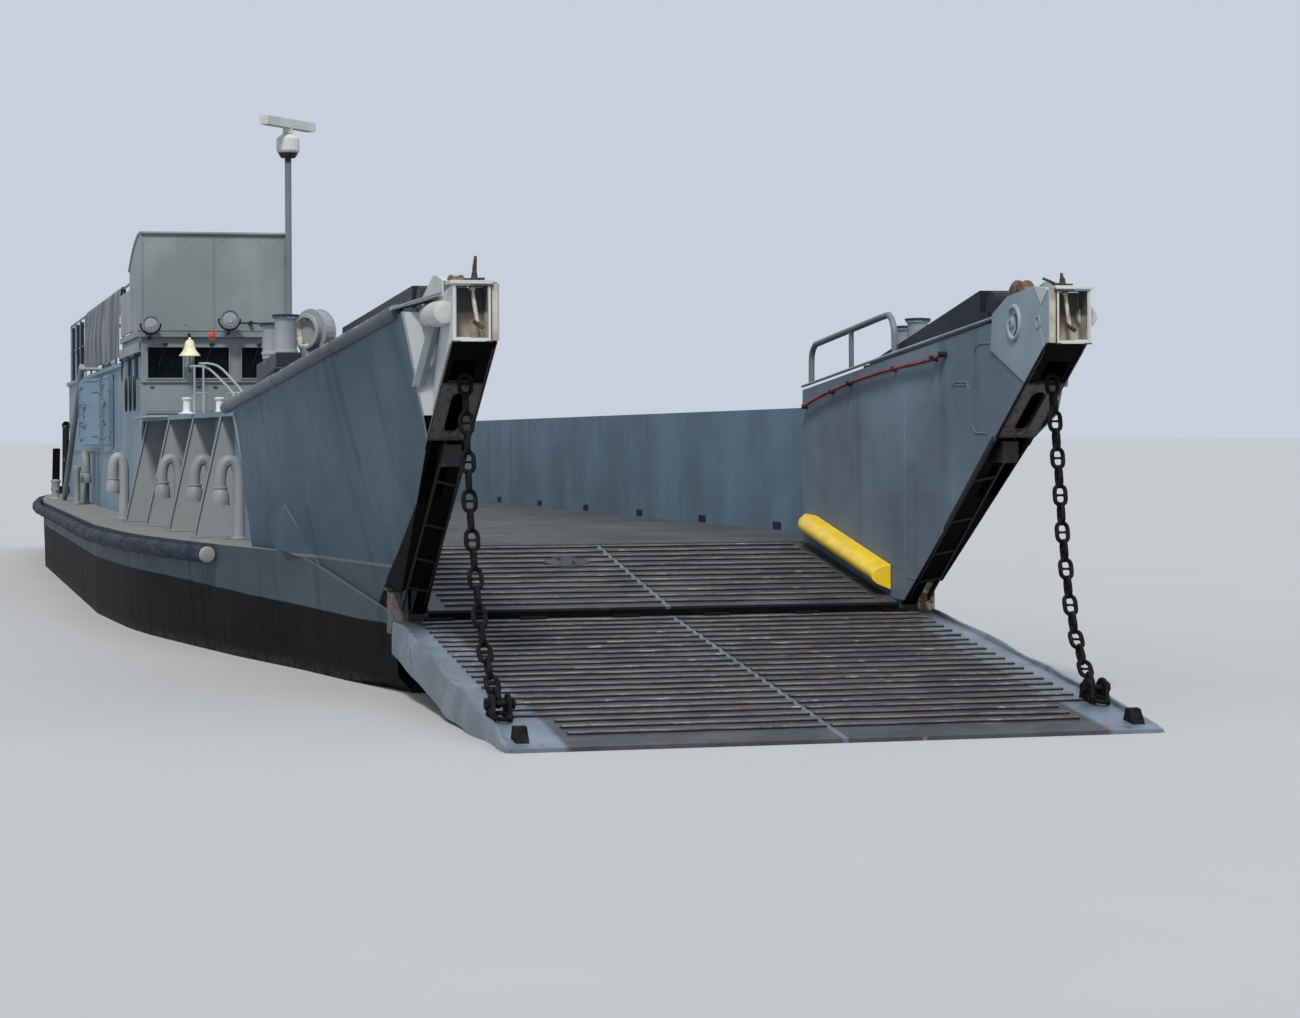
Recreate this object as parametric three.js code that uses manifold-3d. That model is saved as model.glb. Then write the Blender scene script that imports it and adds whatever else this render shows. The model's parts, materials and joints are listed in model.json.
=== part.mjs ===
// A twin-screw landing craft with a lowered bow ramp, as a 1:2 scale model.
// Every size below is the real craft's, in metres. The last lines scale it to
// the model's millimetres. x runs forward from the bow hinge line, y to port,
// and z up from the deck, so most of the craft lies at negative x.

import * as THREE from 'three';
import { mergeVertices } from 'three/addons/utils/BufferGeometryUtils.js';
import Module from 'manifold-3d';

const wasm = await Module();
wasm.setup();

// Driving dimensions
const modelScale = 0.5;
const overallLength = 40.97;
const originToHinge = 16.68;
const deckAboveBottom = 2.4;
const gap = 0.0008;
const starboard = -1;
const port = 1;

// Bow slope and ramp
const slopeLength = 2.8;
const slopeDrop = 0.454;
const slopeAngle = Math.atan2(slopeDrop, slopeLength);
const barHeight = 0.045;
const barWidth = 0.06;
const rampHinge = { x: 0.1, z: -0.554 };
const rampAngle = THREE.MathUtils.degToRad(6.9);
const ramp = { root: -0.02, length: 5, halfWidth: 2.5, barHalf: 2.28, top: 0.05, depth: 0.3, toe: 0.09 };

// Bow wings
const rake = { foot: -0.46, angle: THREE.MathUtils.degToRad(33.6) };
const wingFoot = 2.2;
const wingTip = { x: 3.5, inner: 2.3, outer: 2.58, bottom: 1.825, top: 2.265 };
const sternX = wingTip.x - overallLength;
const wingAft = -4.5;
const wingWallAft = -3;
const pipeRail = { aft: [-4.9, 3.418, 1.417], fore: [2.35, 2.836, 2.085], radius: 0.058 };

// Well, houses and side deck
const wellHalf = 2.95;
const bulwark = { thickness: 0.1, top: 1.4, ledgeFore: 3.08, ledgeAft: 3.5, aft: -36.4 };
const house = { front: -15, aft: -33.6, outer: -3.5, inner: -1.53, roof: 2.19, wall: 0.08 };
const pilot = { aft: -18.4, roof: 2.52, bulwark: 3.93, plate: 0.06 };

// Propellers and rudders
const shaft = { y: 1.75, z: -1.62, radius: 0.07, from: -30.24 };
const tunnelRadius = 0.8;
const propellerX = -35.2;
const nozzle = { fore: -34.9, aft: -35.55, inner: 0.6, outer: 0.7 };
const rudder = { stock: -36.05, fore: -35.75, aft: -36.75, top: -1.02, bottom: -2.2 };

// Paints
const paint = (colour, roughness = 0.6, metalness = 0.2) =>
  new THREE.MeshStandardMaterial({ color: colour, roughness, metalness });
const hazeGrey = paint(0x7f8d96);
const houseGrey = paint(0x86908c);
const deckGrey = paint(0x4b4f55, 0.8);
const rampSteel = paint(0x42434a, 0.55, 0.5);
const bottomBlack = paint(0x23262b, 0.8);
const coverBlue = paint(0x2a3340, 0.7);
const tipWhite = paint(0xc7c8c4);
const curbYellow = paint(0xe3c012, 0.5);
const chainBlack = paint(0x2b2a2b, 0.6, 0.7);
const bronze = paint(0x9a7b42, 0.35, 0.9);
const windowGlass = paint(0x10161a, 0.08, 0);

// Solids in open or closed form, and their joins and cuts
function solid(geometry) {
  const bare = new THREE.BufferGeometry();
  bare.setAttribute('position', geometry.attributes.position.clone());
  bare.setIndex(geometry.index);
  const merged = mergeVertices(bare, 1e-5);
  const corners = merged.index.array;
  const kept = [];
  for (let i = 0; i < corners.length; i += 3) {
    const [a, b, c] = [corners[i], corners[i + 1], corners[i + 2]];
    if (a !== b && b !== c && c !== a) kept.push(a, b, c);
  }
  const vertProperties = merged.attributes.position.array;
  const triVerts = new Uint32Array(kept);
  return new wasm.Manifold(new wasm.Mesh({ numProp: 3, vertProperties, triVerts }));
}

function geometryOf(manifold) {
  const mesh = manifold.getMesh();
  const geometry = new THREE.BufferGeometry();
  geometry.setAttribute('position', new THREE.BufferAttribute(new Float32Array(mesh.vertProperties), 3));
  geometry.setIndex(new THREE.BufferAttribute(new Uint32Array(mesh.triVerts), 1));
  return geometry;
}

const join = (...pieces) => geometryOf(pieces.map(solid).reduce((a, b) => a.add(b)));
const cut = (piece, ...tools) => geometryOf(tools.map(solid).reduce((a, b) => a.subtract(b), solid(piece)));

const [xAxis, yAxis, zAxis] = [[1, 0, 0], [0, 1, 0], [0, 0, 1]].map((v) => new THREE.Vector3(...v));

function block([x0, x1], [y0, y1], [z0, z1]) {
  const geometry = new THREE.BoxGeometry(x1 - x0, y1 - y0, z1 - z0);
  return geometry.translate((x0 + x1) / 2, (y0 + y1) / 2, (z0 + z1) / 2);
}

function outline(points, depth) {
  const shape = new THREE.Shape(points.map(([a, b]) => new THREE.Vector2(a, b)));
  return new THREE.ExtrudeGeometry(shape, { depth, bevelEnabled: false });
}

// A plate whose outline is in x and z, between two places across the craft
function sidePlate(points, [y0, y1]) {
  const turn = new THREE.Matrix4().makeBasis(xAxis, zAxis, yAxis.clone().negate());
  return outline(points, y1 - y0).applyMatrix4(turn).translate(0, y1, 0);
}

// A plate whose outline is in y and z, between two places along the craft
function crossPlate(points, [x0, x1]) {
  const turn = new THREE.Matrix4().makeBasis(yAxis, zAxis, xAxis);
  return outline(points, x1 - x0).applyMatrix4(turn).translate(x0, 0, 0);
}

// A plate whose outline is in x and y, between two heights
const planPlate = (points, [z0, z1]) => outline(points, z1 - z0).translate(0, 0, z0);

function rod(from, to, radius, sides = 10, endRadius = radius) {
  const [a, b] = [new THREE.Vector3(...from), new THREE.Vector3(...to)];
  const geometry = new THREE.CylinderGeometry(endRadius, radius, a.distanceTo(b), sides);
  const turn = new THREE.Quaternion().setFromUnitVectors(yAxis, b.clone().sub(a).normalize());
  return geometry.applyQuaternion(turn).translate(...a.add(b).multiplyScalar(0.5).toArray());
}

function tube(points, radius, steps, sides = 8) {
  const path = new THREE.CatmullRomCurve3(points.map((p) => new THREE.Vector3(...p)), false, 'catmullrom', 0.3);
  const ring = [...Array(sides).keys()].map((i) => (i / sides) * 2 * Math.PI);
  const shape = new THREE.Shape(ring.map((a) => new THREE.Vector2(radius * Math.cos(a), radius * Math.sin(a))));
  return new THREE.ExtrudeGeometry(shape, { extrudePath: path, steps });
}

// A body turned about an upright axis, from radius and height pairs
const turned = (profile, sides = 16) =>
  new THREE.LatheGeometry(profile.map(([r, z]) => new THREE.Vector2(r, z)), sides).rotateX(Math.PI / 2);

// A closed body through outlines that have the same number of corners
function loft(sections) {
  const count = sections[0].length;
  const positions = sections.flat(2);
  const faces = [];
  for (let s = 0; s < sections.length - 1; s += 1) {
    for (let i = 0; i < count; i += 1) {
      const [a, b] = [s * count + i, s * count + ((i + 1) % count)];
      faces.push(a, b, b + count, a, b + count, a + count);
    }
  }
  const last = (sections.length - 1) * count;
  for (let i = 1; i < count - 1; i += 1) {
    faces.push(0, i + 1, i);
    faces.push(last, last + i, last + i + 1);
  }
  const geometry = new THREE.BufferGeometry();
  geometry.setAttribute('position', new THREE.Float32BufferAttribute(positions, 3));
  geometry.setIndex(faces);
  return volume(geometry) < 0 ? flipped(geometry) : geometry;
}

function volume(geometry) {
  const at = (i) => new THREE.Vector3().fromBufferAttribute(geometry.attributes.position, geometry.index.getX(i));
  let sum = 0;
  for (let i = 0; i < geometry.index.count; i += 3) sum += at(i).dot(at(i + 1).cross(at(i + 2)));
  return sum;
}

function flipped(geometry) {
  const faces = Array.from(geometry.index.array);
  for (let i = 0; i < faces.length; i += 3) [faces[i], faces[i + 1]] = [faces[i + 1], faces[i]];
  geometry.setIndex(faces);
  return geometry;
}

// The same piece on the port side as modelled, or mirrored to starboard
function onSide(side, geometry) {
  if (side === port) return geometry;
  const indexed = geometry.index ? geometry.clone() : mergeVertices(geometry, 1e-6);
  return flipped(indexed.scale(1, -1, 1));
}

const craft = new THREE.Group();

function add(name, geometry, material, parent = craft) {
  const mesh = new THREE.Mesh(geometry, material);
  mesh.name = name;
  parent.add(mesh);
  return mesh;
}

const onBothSides = (name, make, material) => {
  add(`${name}_starboard`, onSide(starboard, make(starboard)), material);
  add(`${name}_port`, onSide(port, make(port)), material);
};

const between = (a, b, t) => a + (b - a) * t;

// Hull: stations of x, deck height, deck half-breadth, chine half-breadth and height,
// bottom half-breadth and height
const hullStations = [
  [0, -slopeDrop, 2.48, 2.44, -1, 2.2, -1.25],
  [-slopeLength, 0, 2.98, 2.88, -1.25, 2.4, -1.62],
  [-5, 0, 3.42, 3.32, -1.42, 2.8, -1.95],
  [-8.5, 0, 3.97, 3.88, -1.75, 3.3, -2.33],
  [-10, 0, 4.1, 4.05, -1.9, 3.6, -2.4],
  [-13, 0, 4.25, 4.22, -2, 3.95, -2.4],
  [-28, 0, 4.25, 4.22, -2, 3.95, -2.4],
  [-31.5, 0, 4.12, 4.05, -1.9, 3.7, -2.4],
  [-35, 0, 3.9, 3.82, -1.3, 3.5, -1.45],
  [-36.8, 0, 3.7, 3.62, -1.2, 3.3, -1.35],
  [sternX, 0, 3.35, 3.3, -1.15, 3, -1.3],
];

const deckEdge = (x) => {
  const i = Math.max(1, hullStations.findIndex(([station]) => station <= x));
  const [a, b] = [hullStations[i - 1], hullStations[i]];
  return between(a[2], b[2], (x - a[0]) / (b[0] - a[0]));
};

function hull() {
  const body = loft(hullStations.map(([x, deck, deckY, chineY, chineZ, bottomY, bottomZ]) => [
    [x, -deckY, deck], [x, -chineY, chineZ], [x, -bottomY, bottomZ],
    [x, bottomY, bottomZ], [x, chineY, chineZ], [x, deckY, deck],
  ]));
  const tunnels = [starboard, port].map((side) =>
    turned([[0, -38.2], [tunnelRadius, -38.2], [tunnelRadius, -32.2], [0.35, -30.2], [0, -30.2]], 20)
      .rotateY(Math.PI / 2).translate(0, side * shaft.y, shaft.z));
  const skeg = sidePlate([[-30.5, -2.3], [-31.5, -deckAboveBottom], [-36.2, -deckAboveBottom],
    [-36.5, -1.2], [-31.5, -1.2]], [-0.13, 0.13]);
  const lugs = rampHingePlaces.map((y) => join(
    rod([rampHinge.x, y - 0.12, rampHinge.z], [rampHinge.x, y + 0.12, rampHinge.z], 0.075, 12),
    block([-0.02, rampHinge.x], [y - 0.12, y + 0.12], [rampHinge.z - 0.1, rampHinge.z + 0.02]),
    rod([rampHinge.x, y - 0.2, rampHinge.z], [rampHinge.x, y + 0.2, rampHinge.z], 0.035, 10)));
  return join(cut(body, ...tunnels), skeg, ...lugs);
}

const rampHingePlaces = [-2.1, -1.26, -0.42, 0.42, 1.26, 2.1];
add('hull', hull(), hazeGrey);

// Tread bars across the sloping bow deck, in two halves beside a centre strip
function treadBars(count, from, pitch, half, base) {
  const bars = [];
  for (let i = 0; i < count; i += 1) {
    const x = from + i * pitch;
    bars.push(block([x, x + barWidth], [-half, -0.05], [base - 0.02, base + barHeight]));
    bars.push(block([x, x + barWidth], [0.05, half], [base - 0.02, base + barHeight]));
  }
  return bars;
}

function bowSlope() {
  const length = Math.hypot(slopeLength, slopeDrop);
  const plate = block([0.02, length - 0.01], [-2.17, 2.17], [gap, 0.03]);
  const strip = block([0.02, length - 0.01], [-0.03, 0.03], [0.01, 0.055]);
  const bars = treadBars(12, 0.1, 0.23, 2.1, 0.03);
  const manhole = rod([1.2, -0.62, 0.02], [1.2, -0.62, 0.085], 0.3, 20);
  const geometry = join(plate, strip, ...bars, manhole);
  const mesh = add('bow_slope_tread', geometry, rampSteel);
  mesh.position.set(-slopeLength, 0, 0);
  mesh.rotation.y = slopeAngle;
}
bowSlope();

// Deck plating of the well and of the lane beside the house
const lane = { fore: -3.1, turn: -14.7, aft: -36.4, half: 2.9, inner: -1.38, thickness: 0.03 };
add('well_deck_plate', planPlate([[lane.fore, -lane.half], [lane.fore, lane.half], [lane.aft, lane.half],
  [lane.aft, lane.inner], [lane.turn, lane.inner], [lane.turn, -lane.half]], [gap, gap + lane.thickness]), deckGrey);

// Bow ramp, in its own frame with the hinge as origin and x along the ramp
function bowRamp() {
  const { root, length, halfWidth, barHalf, top, depth, toe } = ramp;
  const profile = [[root, top], [root, top - depth * 0.9], [0.5, top - depth], [2.6, top - depth],
    [length, top - toe], [length, top]];
  const deck = sidePlate(profile, [-halfWidth, halfWidth]);
  const strip = block([0.2, length - 0.1], [-0.03, 0.03], [top - 0.01, top + 0.03]);
  const bars = treadBars(22, 0.2, 0.212, barHalf, top);
  const kerbs = [starboard, port].map((side) => onSide(side, sidePlate(
    [[0.3, top - 0.01], [0.6, top + 0.03], [4.5, top + 0.03], [4.9, top - 0.01]], [2.4, 2.47])));
  const padeyes = [starboard, port].flatMap((side) => [-0.06, 0.06].map((offset) => onSide(side, sidePlate(
    [[3.86, top - 0.01], [3.9, top + 0.17], [4, top + 0.2], [4.1, top + 0.17], [4.14, top - 0.01]],
    [2.36 + offset - 0.015, 2.36 + offset + 0.015]))));
  const notches = rampHingePlaces.map((y) => block([-0.2, 0.12], [y - 0.15, y + 0.15], [-0.5, 0.2]));
  const bores = rampHingePlaces.map((y) => rod([0, y - 0.22, 0], [0, y + 0.22, 0], 0.043, 10));
  const body = join(deck, strip, ...bars, ...kerbs, ...padeyes);
  return cut(body, ...notches, ...bores);
}

const rampGroup = new THREE.Group();
rampGroup.position.set(rampHinge.x, 0, rampHinge.z);
rampGroup.rotation.y = rampAngle;
craft.add(rampGroup);
add('bow_ramp', bowRamp(), rampSteel, rampGroup);

// Bow wings: a flared box on each side of the ramp, with an arm out to a hollow tip
const rakeHeight = (x) => rake.foot + x * Math.tan(rake.angle);
const topAt = (x) => between(1.58, 2.07, (x - wingWallAft) / (2.6 - wingWallAft));

function bowWing() {
  // x, bottom, foot half-breadth, top half-breadth, top height outboard, inner half-breadth, inner top
  const sections = [
    [wingAft, gap, 3.2, 3.39, 1.425, wingFoot, 1.45],
    [wingAft + 0.5, gap, 3.13, 3.35, 1.47, wingFoot, 1.48],
    [-slopeLength, gap, 2.93, 3.25, 1.58, wingFoot, 1.58],
    [0, -slopeDrop + gap, 2.45, 3.03, 1.84, wingFoot, 1.83],
    [0.06, rakeHeight(0.06), 2.45, 3.02, 1.845, wingFoot, 1.83],
    [2.35, rakeHeight(2.35), 2.58, 2.84, 2.055, 2.25, 2.05],
    [2.6, rakeHeight(2.6), 2.66, 2.82, 2.08, 2.25, 2.07],
  ];
  const body = loft(sections.map(([x, bottom, footY, topY, topZ, innerY, innerZ]) =>
    [[x, innerY, bottom], [x, footY, bottom], [x, topY, topZ], [x, innerY, innerZ]]));
  const vents = [[-2.16, 3.14, 2.26], [-2.72, 3.19, 2.205]].map(([x, y, z]) => join(
    rod([x, y, 1.8], [x, y, z - 0.02], 0.1, 12), rod([x, y, z - 0.04], [x, y, z], 0.125, 12)));
  const ventFoot = sidePlate([[-3.4, 1.5], [-2, 1.6], [-2, 1.8], [-3.4, 1.75]], [3.03, 3.1]);
  const ventBase = sidePlate([[-3.5, 1.61], [-1.95, 1.755], [-1.95, 1.885], [-3.5, 1.81]], [3.03, 3.25]);
  const { x, inner, outer, bottom, top } = wingTip;
  const arm = sidePlate([[2.2, rakeHeight(2.2)], [(bottom - rake.foot) / Math.tan(rake.angle), bottom], [x, bottom],
    [x, top], [2.9, 2.18], [2.2, 2.04]], [inner, outer]);
  const cheek = sidePlate([[2.25, rakeHeight(2.25)], [(bottom - rake.foot) / Math.tan(rake.angle), bottom],
    [x, bottom], [x, top - 0.01], [3.19, 2.29], [2.59, 2.233], [2.25, 2.1]], [2.24, inner + 0.01]);
  const outerCheek = sidePlate([[2.15, 1.95], [2.15, 2.22], [2.64, 2.36], [2.8, 2.35], [3.05, 2.3], [3.05, 2.1]],
    [outer - 0.04, outer]);
  const tipHollow = block([x - 0.2, x + 0.1], [inner + 0.02, outer - 0.02], [bottom + 0.025, top - 0.025]);
  const trough = sidePlate([[1.5, rakeHeight(1.5) - 0.1], [3.25, rakeHeight(3.25) - 0.1],
    [3.15, rakeHeight(3.15) + 0.28], [1.55, rakeHeight(1.55) + 0.2]], [inner + 0.04, outer - 0.05]);
  const footNotch = block([-0.2, 0.42], [2.33, 3], [-0.7, -0.22]);
  const step = block([wingAft - 0.1, wingWallAft], [2, wellHalf + bulwark.thickness + 0.002], [-0.1, 2.5]);
  const rail = rod(pipeRail.aft, pipeRail.fore, pipeRail.radius, 10);
  const bracket = loft([
    [[2.3, outer - 0.03, 2.17], [3.02, outer - 0.03, 2.2], [3.02, outer - 0.03, 2.225], [2.3, outer - 0.03, 2.195]],
    [[2.25, 2.87, 2.09], [2.44, 2.87, 2.1], [2.44, 2.87, 2.125], [2.25, 2.87, 2.115]],
  ]);
  const boss = rod([2.57, 2.595, 2.05], [3, 2.595, 2.05], 0.1, 16);
  const strut = rod([2.9, 2.6, 2], [2.55, 2.7, 1.5], 0.045, 10);
  return cut(join(body, arm, cheek, outerCheek, rail, bracket, boss, strut, ventFoot, ventBase, ...vents),
    step, tipHollow, trough, footNotch);
}
onBothSides('bow_wing', bowWing, hazeGrey);

// Ramp chains: stud links from the tip's trough to the ramp's corner padeyes
function rampChain() {
  const path = new THREE.CatmullRomCurve3([[3.1, 2.42, 1.5], [3.24, 2.42, 0.7], [3.34, 2.41, 0.22],
    [3.58, 2.39, -0.41], [3.88, 2.37, -0.76], [3.98, 2.36, -0.83]].map((p) => new THREE.Vector3(...p)));
  const [pitch, width, wire] = [0.142, 0.126, 0.036];
  const count = Math.round(path.getLength() / pitch);
  const links = [];
  for (let i = 0; i < count; i += 1) {
    const spot = (i + 0.5) / count;
    const half = path.getLength() / count / 2 + wire * 0.75;
    const shape = new THREE.Shape();
    stadium(shape, half, width / 2);
    const hole = new THREE.Path();
    stadium(hole, half - wire, width / 2 - wire);
    shape.holes.push(hole);
    const link = new THREE.ExtrudeGeometry(shape, { depth: wire, bevelEnabled: false, curveSegments: 2 });
    link.translate(0, 0, -wire / 2);
    if (i % 2) link.rotateX(Math.PI / 2);
    const turn = new THREE.Quaternion().setFromUnitVectors(xAxis, path.getTangentAt(spot));
    links.push(link.applyQuaternion(turn).translate(...path.getPointAt(spot).toArray()));
  }
  return join(...links);
}

function stadium(path, half, radius) {
  path.moveTo(half - radius, -radius);
  path.absarc(half - radius, 0, radius, -Math.PI / 2, Math.PI / 2, false);
  path.absarc(radius - half, 0, radius, Math.PI / 2, Math.PI * 1.5, false);
}
onBothSides('ramp_chain', rampChain, chainBlack);

// Yellow wheel curbs on the well side of each wing
function wheelCurb(side) {
  const fore = side === port ? -0.25 : -1.6;
  const wall = wingFoot - 0.006;
  const section = [[wall, 0.02], [wall - 0.2, 0.02], [wall - 0.24, 0.1], [wall - 0.19, 0.2], [wall, 0.28]];
  const place = (x, z) => section.map(([y, up]) => [x, y, z + up]);
  return loft([place(-3.05, 0.06), place(-slopeLength, 0.06),
    place(fore, 0.06 - slopeDrop * (slopeLength + fore) / slopeLength)]);
}
onBothSides('wheel_curb', wheelCurb, curbYellow);

// Cover along the top of each wing with a round sheave housing before it, and the blower to starboard
function wingCover(side) {
  const fore = 1.75;
  const aft = side === port ? -1.2 : -2.2;
  const aftTop = side === port ? 1.79 : 2.14;
  const foot = (x) => topAt(x) + 0.003;
  const box = sidePlate([[aft, foot(aft)], [fore + 0.2, foot(fore + 0.2)], [fore + 0.2, 2.14], [fore, 2.14],
    [fore, 2.33], [aft, aftTop]], [2.31, 2.6]);
  return join(box, rod([fore + 0.25, 2.32, 2.18], [fore + 0.25, 2.59, 2.18], 0.13, 16));
}
onBothSides('wing_cover', wingCover, coverBlue);

function blower() {
  const turn = THREE.MathUtils.degToRad(52);
  const along = (d) => [-2.55 + d * Math.cos(turn), 2.86 + d * Math.sin(turn), 2.115];
  const drum = rod(along(-0.13), along(0), 0.211, 24);
  const foot = block([-2.76, -2.5], [2.68, 2.93], [topAt(-2.5) - 0.012, 2.08]);
  const inlet = rod(along(-0.02), along(0.06), 0.167, 20);
  return cut(join(drum, foot, inlet), rod(along(-0.07), along(0.1), 0.14, 20));
}
add('blower', onSide(starboard, blower()), houseGrey);

// Tube handrail beside the port wing
function wingHandrail() {
  const y = 2.26;
  const foot = (x) => topAt(x) - 0.006;
  const loop = tube([[-2.88, y, foot(-2.88)], [-2.88, y, 1.87], [-2.73, y, 2.02], [-0.53, y, 2.22],
    [-0.37, y, 2.18], [-0.33, y, foot(-0.33)]], 0.03, 24);
  return join(loop, rod([-1.6, y, foot(-1.6)], [-1.6, y, 2.12], 0.025));
}

// Well bulwarks with their ledge, buttresses and gooseneck ventilators
const ledgeAt = (x) => between(bulwark.ledgeFore, bulwark.ledgeAft, (x + 5) / (house.front + 5));

function wellBulwark(side) {
  const { thickness, top, aft } = bulwark;
  const fore = wingWallAft - 0.004;
  const end = side === starboard ? house.front + 0.006 : aft;
  const wall = block([end, fore], [wellHalf, wellHalf + thickness], [gap, top]);
  const ledgeEnd = Math.max(end, house.front);
  const ledge = [[-5, wellHalf], [ledgeEnd, wellHalf], [ledgeEnd, ledgeAt(ledgeEnd)], [-5, ledgeAt(-5)]];
  if (side === port) ledge.splice(1, 2, [aft, wellHalf], [aft, ledgeAt(ledgeEnd)], [ledgeEnd, ledgeAt(ledgeEnd)]);
  const pieces = [wall, planPlate(ledge, [top - 0.05, top + 0.01])];
  const pitch = 2.25;
  for (let x = -7.65; x > end; x -= pitch) {
    const foot = Math.min(between(3.47, 3.75, (-7.65 - x) / 6.75), deckEdge(x) - 0.15);
    const head = Math.min(ledgeAt(x), bulwark.ledgeAft) - 0.02;
    pieces.push(crossPlate([[wellHalf + 0.05, gap], [foot, gap], [foot, 0.06], [head, top],
      [wellHalf + 0.05, top]], [x - 0.03, x + 0.03]));
  }
  if (side === starboard) {
    for (const [x, y] of [[-11, 3.36], [-8.8, 3.17], [-6.6, 3.1]]) {
      pieces.push(gooseneck(x, y, 0.2), block([x - 0.03, x + 0.03], [wellHalf + 0.05, y], [0.3, 0.34]));
    }
  }
  return join(...pieces);
}

function gooseneck(x, y, reach, radius = 0.055, turn = 0) {
  const neck = tube([[0, 0, gap], [0, 0, 0.7], [0, reach * 0.15, 0.81], [0, reach / 2, 0.855],
    [0, reach * 0.85, 0.81], [0, reach, 0.7], [0, reach, 0.5]], radius, 9, 6);
  return join(neck, rod([0, reach, 0.38], [0, reach, 0.56], 0.1, 8, 0.07)).rotateZ(turn).translate(x, y, 0);
}
onBothSides('well_bulwark', wellBulwark, hazeGrey);
add('side_vent_fore', onSide(starboard, gooseneck(-15.25, 3.73, 0.15, 0.07)), hazeGrey);
add('side_vent_aft', onSide(starboard, gooseneck(-26, 3.64, 0.28, 0.07, -Math.PI / 2)), hazeGrey);

// Rubbing fenders just below the deck edge
function fender() {
  const radius = 0.085;
  const stations = [-5.4, -6.5, -8.5, -10, -13, -20, -28, -31.5, -35, -36.8];
  const path = stations.map((x) => [x, deckEdge(x) + radius + 0.02, -0.11]);
  return tube(path, radius, 24, 8);
}
onBothSides('fender', fender, coverBlue);

// Pilothouse and deckhouse walls, each a plate with its windows and doorways cut
function houses() {
  const { front, aft, outer, inner, roof, wall } = house;
  const windows = [-3.42, -2.79, -2.14].map((y) => block([front - 0.3, front + 0.3], [y, y + 0.48], [pane.sill, pane.head]));
  const frontPlate = block([front - wall, front], [outer, inner], [gap, pilot.roof - gap]);
  add('pilothouse_front', cut(frontPlate, ...windows), houseGrey);
  const sideFrom = front - wall - gap;
  const sideWall = (y0, y1, from, to, top, holes) => cut(block([to, from], [y0, y1], [gap, top]), ...holes);
  const openingAt = (x, y, half, low, high) => block([x - half, x + half], [y - 0.3, y + 0.3], [low, high]);
  const sideWindows = (y) => [-16, -17.2].map((x) => openingAt(x, y, 0.4, pane.sill, pane.head));
  add('pilothouse_side_starboard',
    sideWall(outer, outer + wall, sideFrom, pilot.aft, pilot.roof - gap, sideWindows(outer)), houseGrey);
  add('pilothouse_side_port',
    sideWall(inner - wall, inner, sideFrom, pilot.aft, pilot.roof - gap, sideWindows(inner)), houseGrey);
  const backPlate = block([pilot.aft - wall - gap, pilot.aft - gap], [outer, inner], [gap, pilot.roof - gap]);
  add('pilothouse_back', backPlate, houseGrey);
  add('bridge_deck', block([pilot.aft - wall - gap, front + 0.05], [outer - 0.05, inner + 0.05],
    [pilot.roof, pilot.roof + 0.08]), houseGrey);
  const afterFrom = pilot.aft - wall - 2 * gap;
  const doorHole = (x, y, [sill, head]) => openingAt(x, y, door.half, sill, head);
  add('deckhouse_side_starboard', sideWall(outer, outer + wall, afterFrom, aft, roof - gap,
    starboardDoors.map(([x]) => doorHole(x, outer, highDoor))), hazeGrey);
  add('deckhouse_side_port', sideWall(inner - wall, inner, afterFrom, aft, roof - gap,
    [doorHole(wellDoor, inner, tallDoor)]), hazeGrey);
  add('deckhouse_aft_wall', block([aft - wall - gap, aft - gap], [outer, inner], [gap, roof - gap]), hazeGrey);
  add('deckhouse_roof', block([aft - wall - 0.05, afterFrom], [outer - 0.05, inner + 0.05],
    [roof, roof + 0.06]), hazeGrey);
}

const pane = { sill: 1.94, head: 2.37 };
const door = { half: 0.29, lap: 0.05, thickness: 0.05, hingeOut: 0.037 };
const highDoor = [1.05, 2.07];
const tallDoor = [0.25, 2.05];
const starboardDoors = [[-20.94, 6], [-23.34, 28]];
const wellDoor = -21.5;
houses();

// Window panes just inside the walls
function panes() {
  const { front, outer, inner, wall } = house;
  const height = [pane.sill - 0.06, pane.head + 0.06];
  const behind = [front - wall - 0.04, front - wall - 0.015];
  add('pilothouse_glass_front', block(behind, [outer + 0.09, inner - 0.09], height), windowGlass);
  const along = [-17.75, -15.45];
  const inside = wall + 0.002;
  add('pilothouse_glass_starboard', block(along, [outer + inside, outer + inside + 0.025], height), windowGlass);
  add('pilothouse_glass_port', block(along, [inner - inside - 0.025, inner - inside], height), windowGlass);
}
panes();

// Open bridge: a bulwark on three sides above the pilothouse
function bridgeBulwark() {
  const { front, outer, inner } = house;
  const { plate } = pilot;
  const [foot, top] = [pilot.roof + 0.08 + gap, pilot.bulwark];
  const frontPlate = block([front - plate, front], [outer, inner], [foot, top]);
  const sideOutline = [[front - 0.01, foot], [front - 2.2, foot], [front - 2.2, top - 0.4],
    [front - 1.4, top - 0.15], [front - 0.5, top], [front - 0.01, top]];
  const sides = [[outer, outer + plate], [inner - plate, inner]].map((across) => sidePlate(sideOutline, across));
  return join(frontPlate, ...sides);
}
add('bridge_bulwark', bridgeBulwark(), houseGrey);

// Doors, each hung on the fore edge of its doorway just outside the wall
function houseDoor([sill, head]) {
  const { half, thickness, lap } = door;
  const [width, corner] = [2 * (half + lap), 0.16];
  const [low, high] = [sill - lap, head + lap];
  const leafOutline = [[0, low], [0, high]];
  for (const [turnFrom, x, z] of [[90, corner - width, high - corner], [180, corner - width, low + corner]]) {
    for (let i = 0; i <= 4; i += 1) {
      const angle = THREE.MathUtils.degToRad(turnFrom + i * 22.5);
      leafOutline.push([x + corner * Math.cos(angle), z + corner * Math.sin(angle)]);
    }
  }
  const leaf = sidePlate(leafOutline, [-thickness / 2, thickness / 2]);
  const handles = [0.3, 0.6].map((share) => {
    const z = between(sill, head, share);
    return rod([0.08 - width, thickness / 2 - 0.01, z], [0.24 - width, thickness / 2 + 0.04, z], 0.02, 8);
  });
  return join(leaf, ...handles);
}
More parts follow.
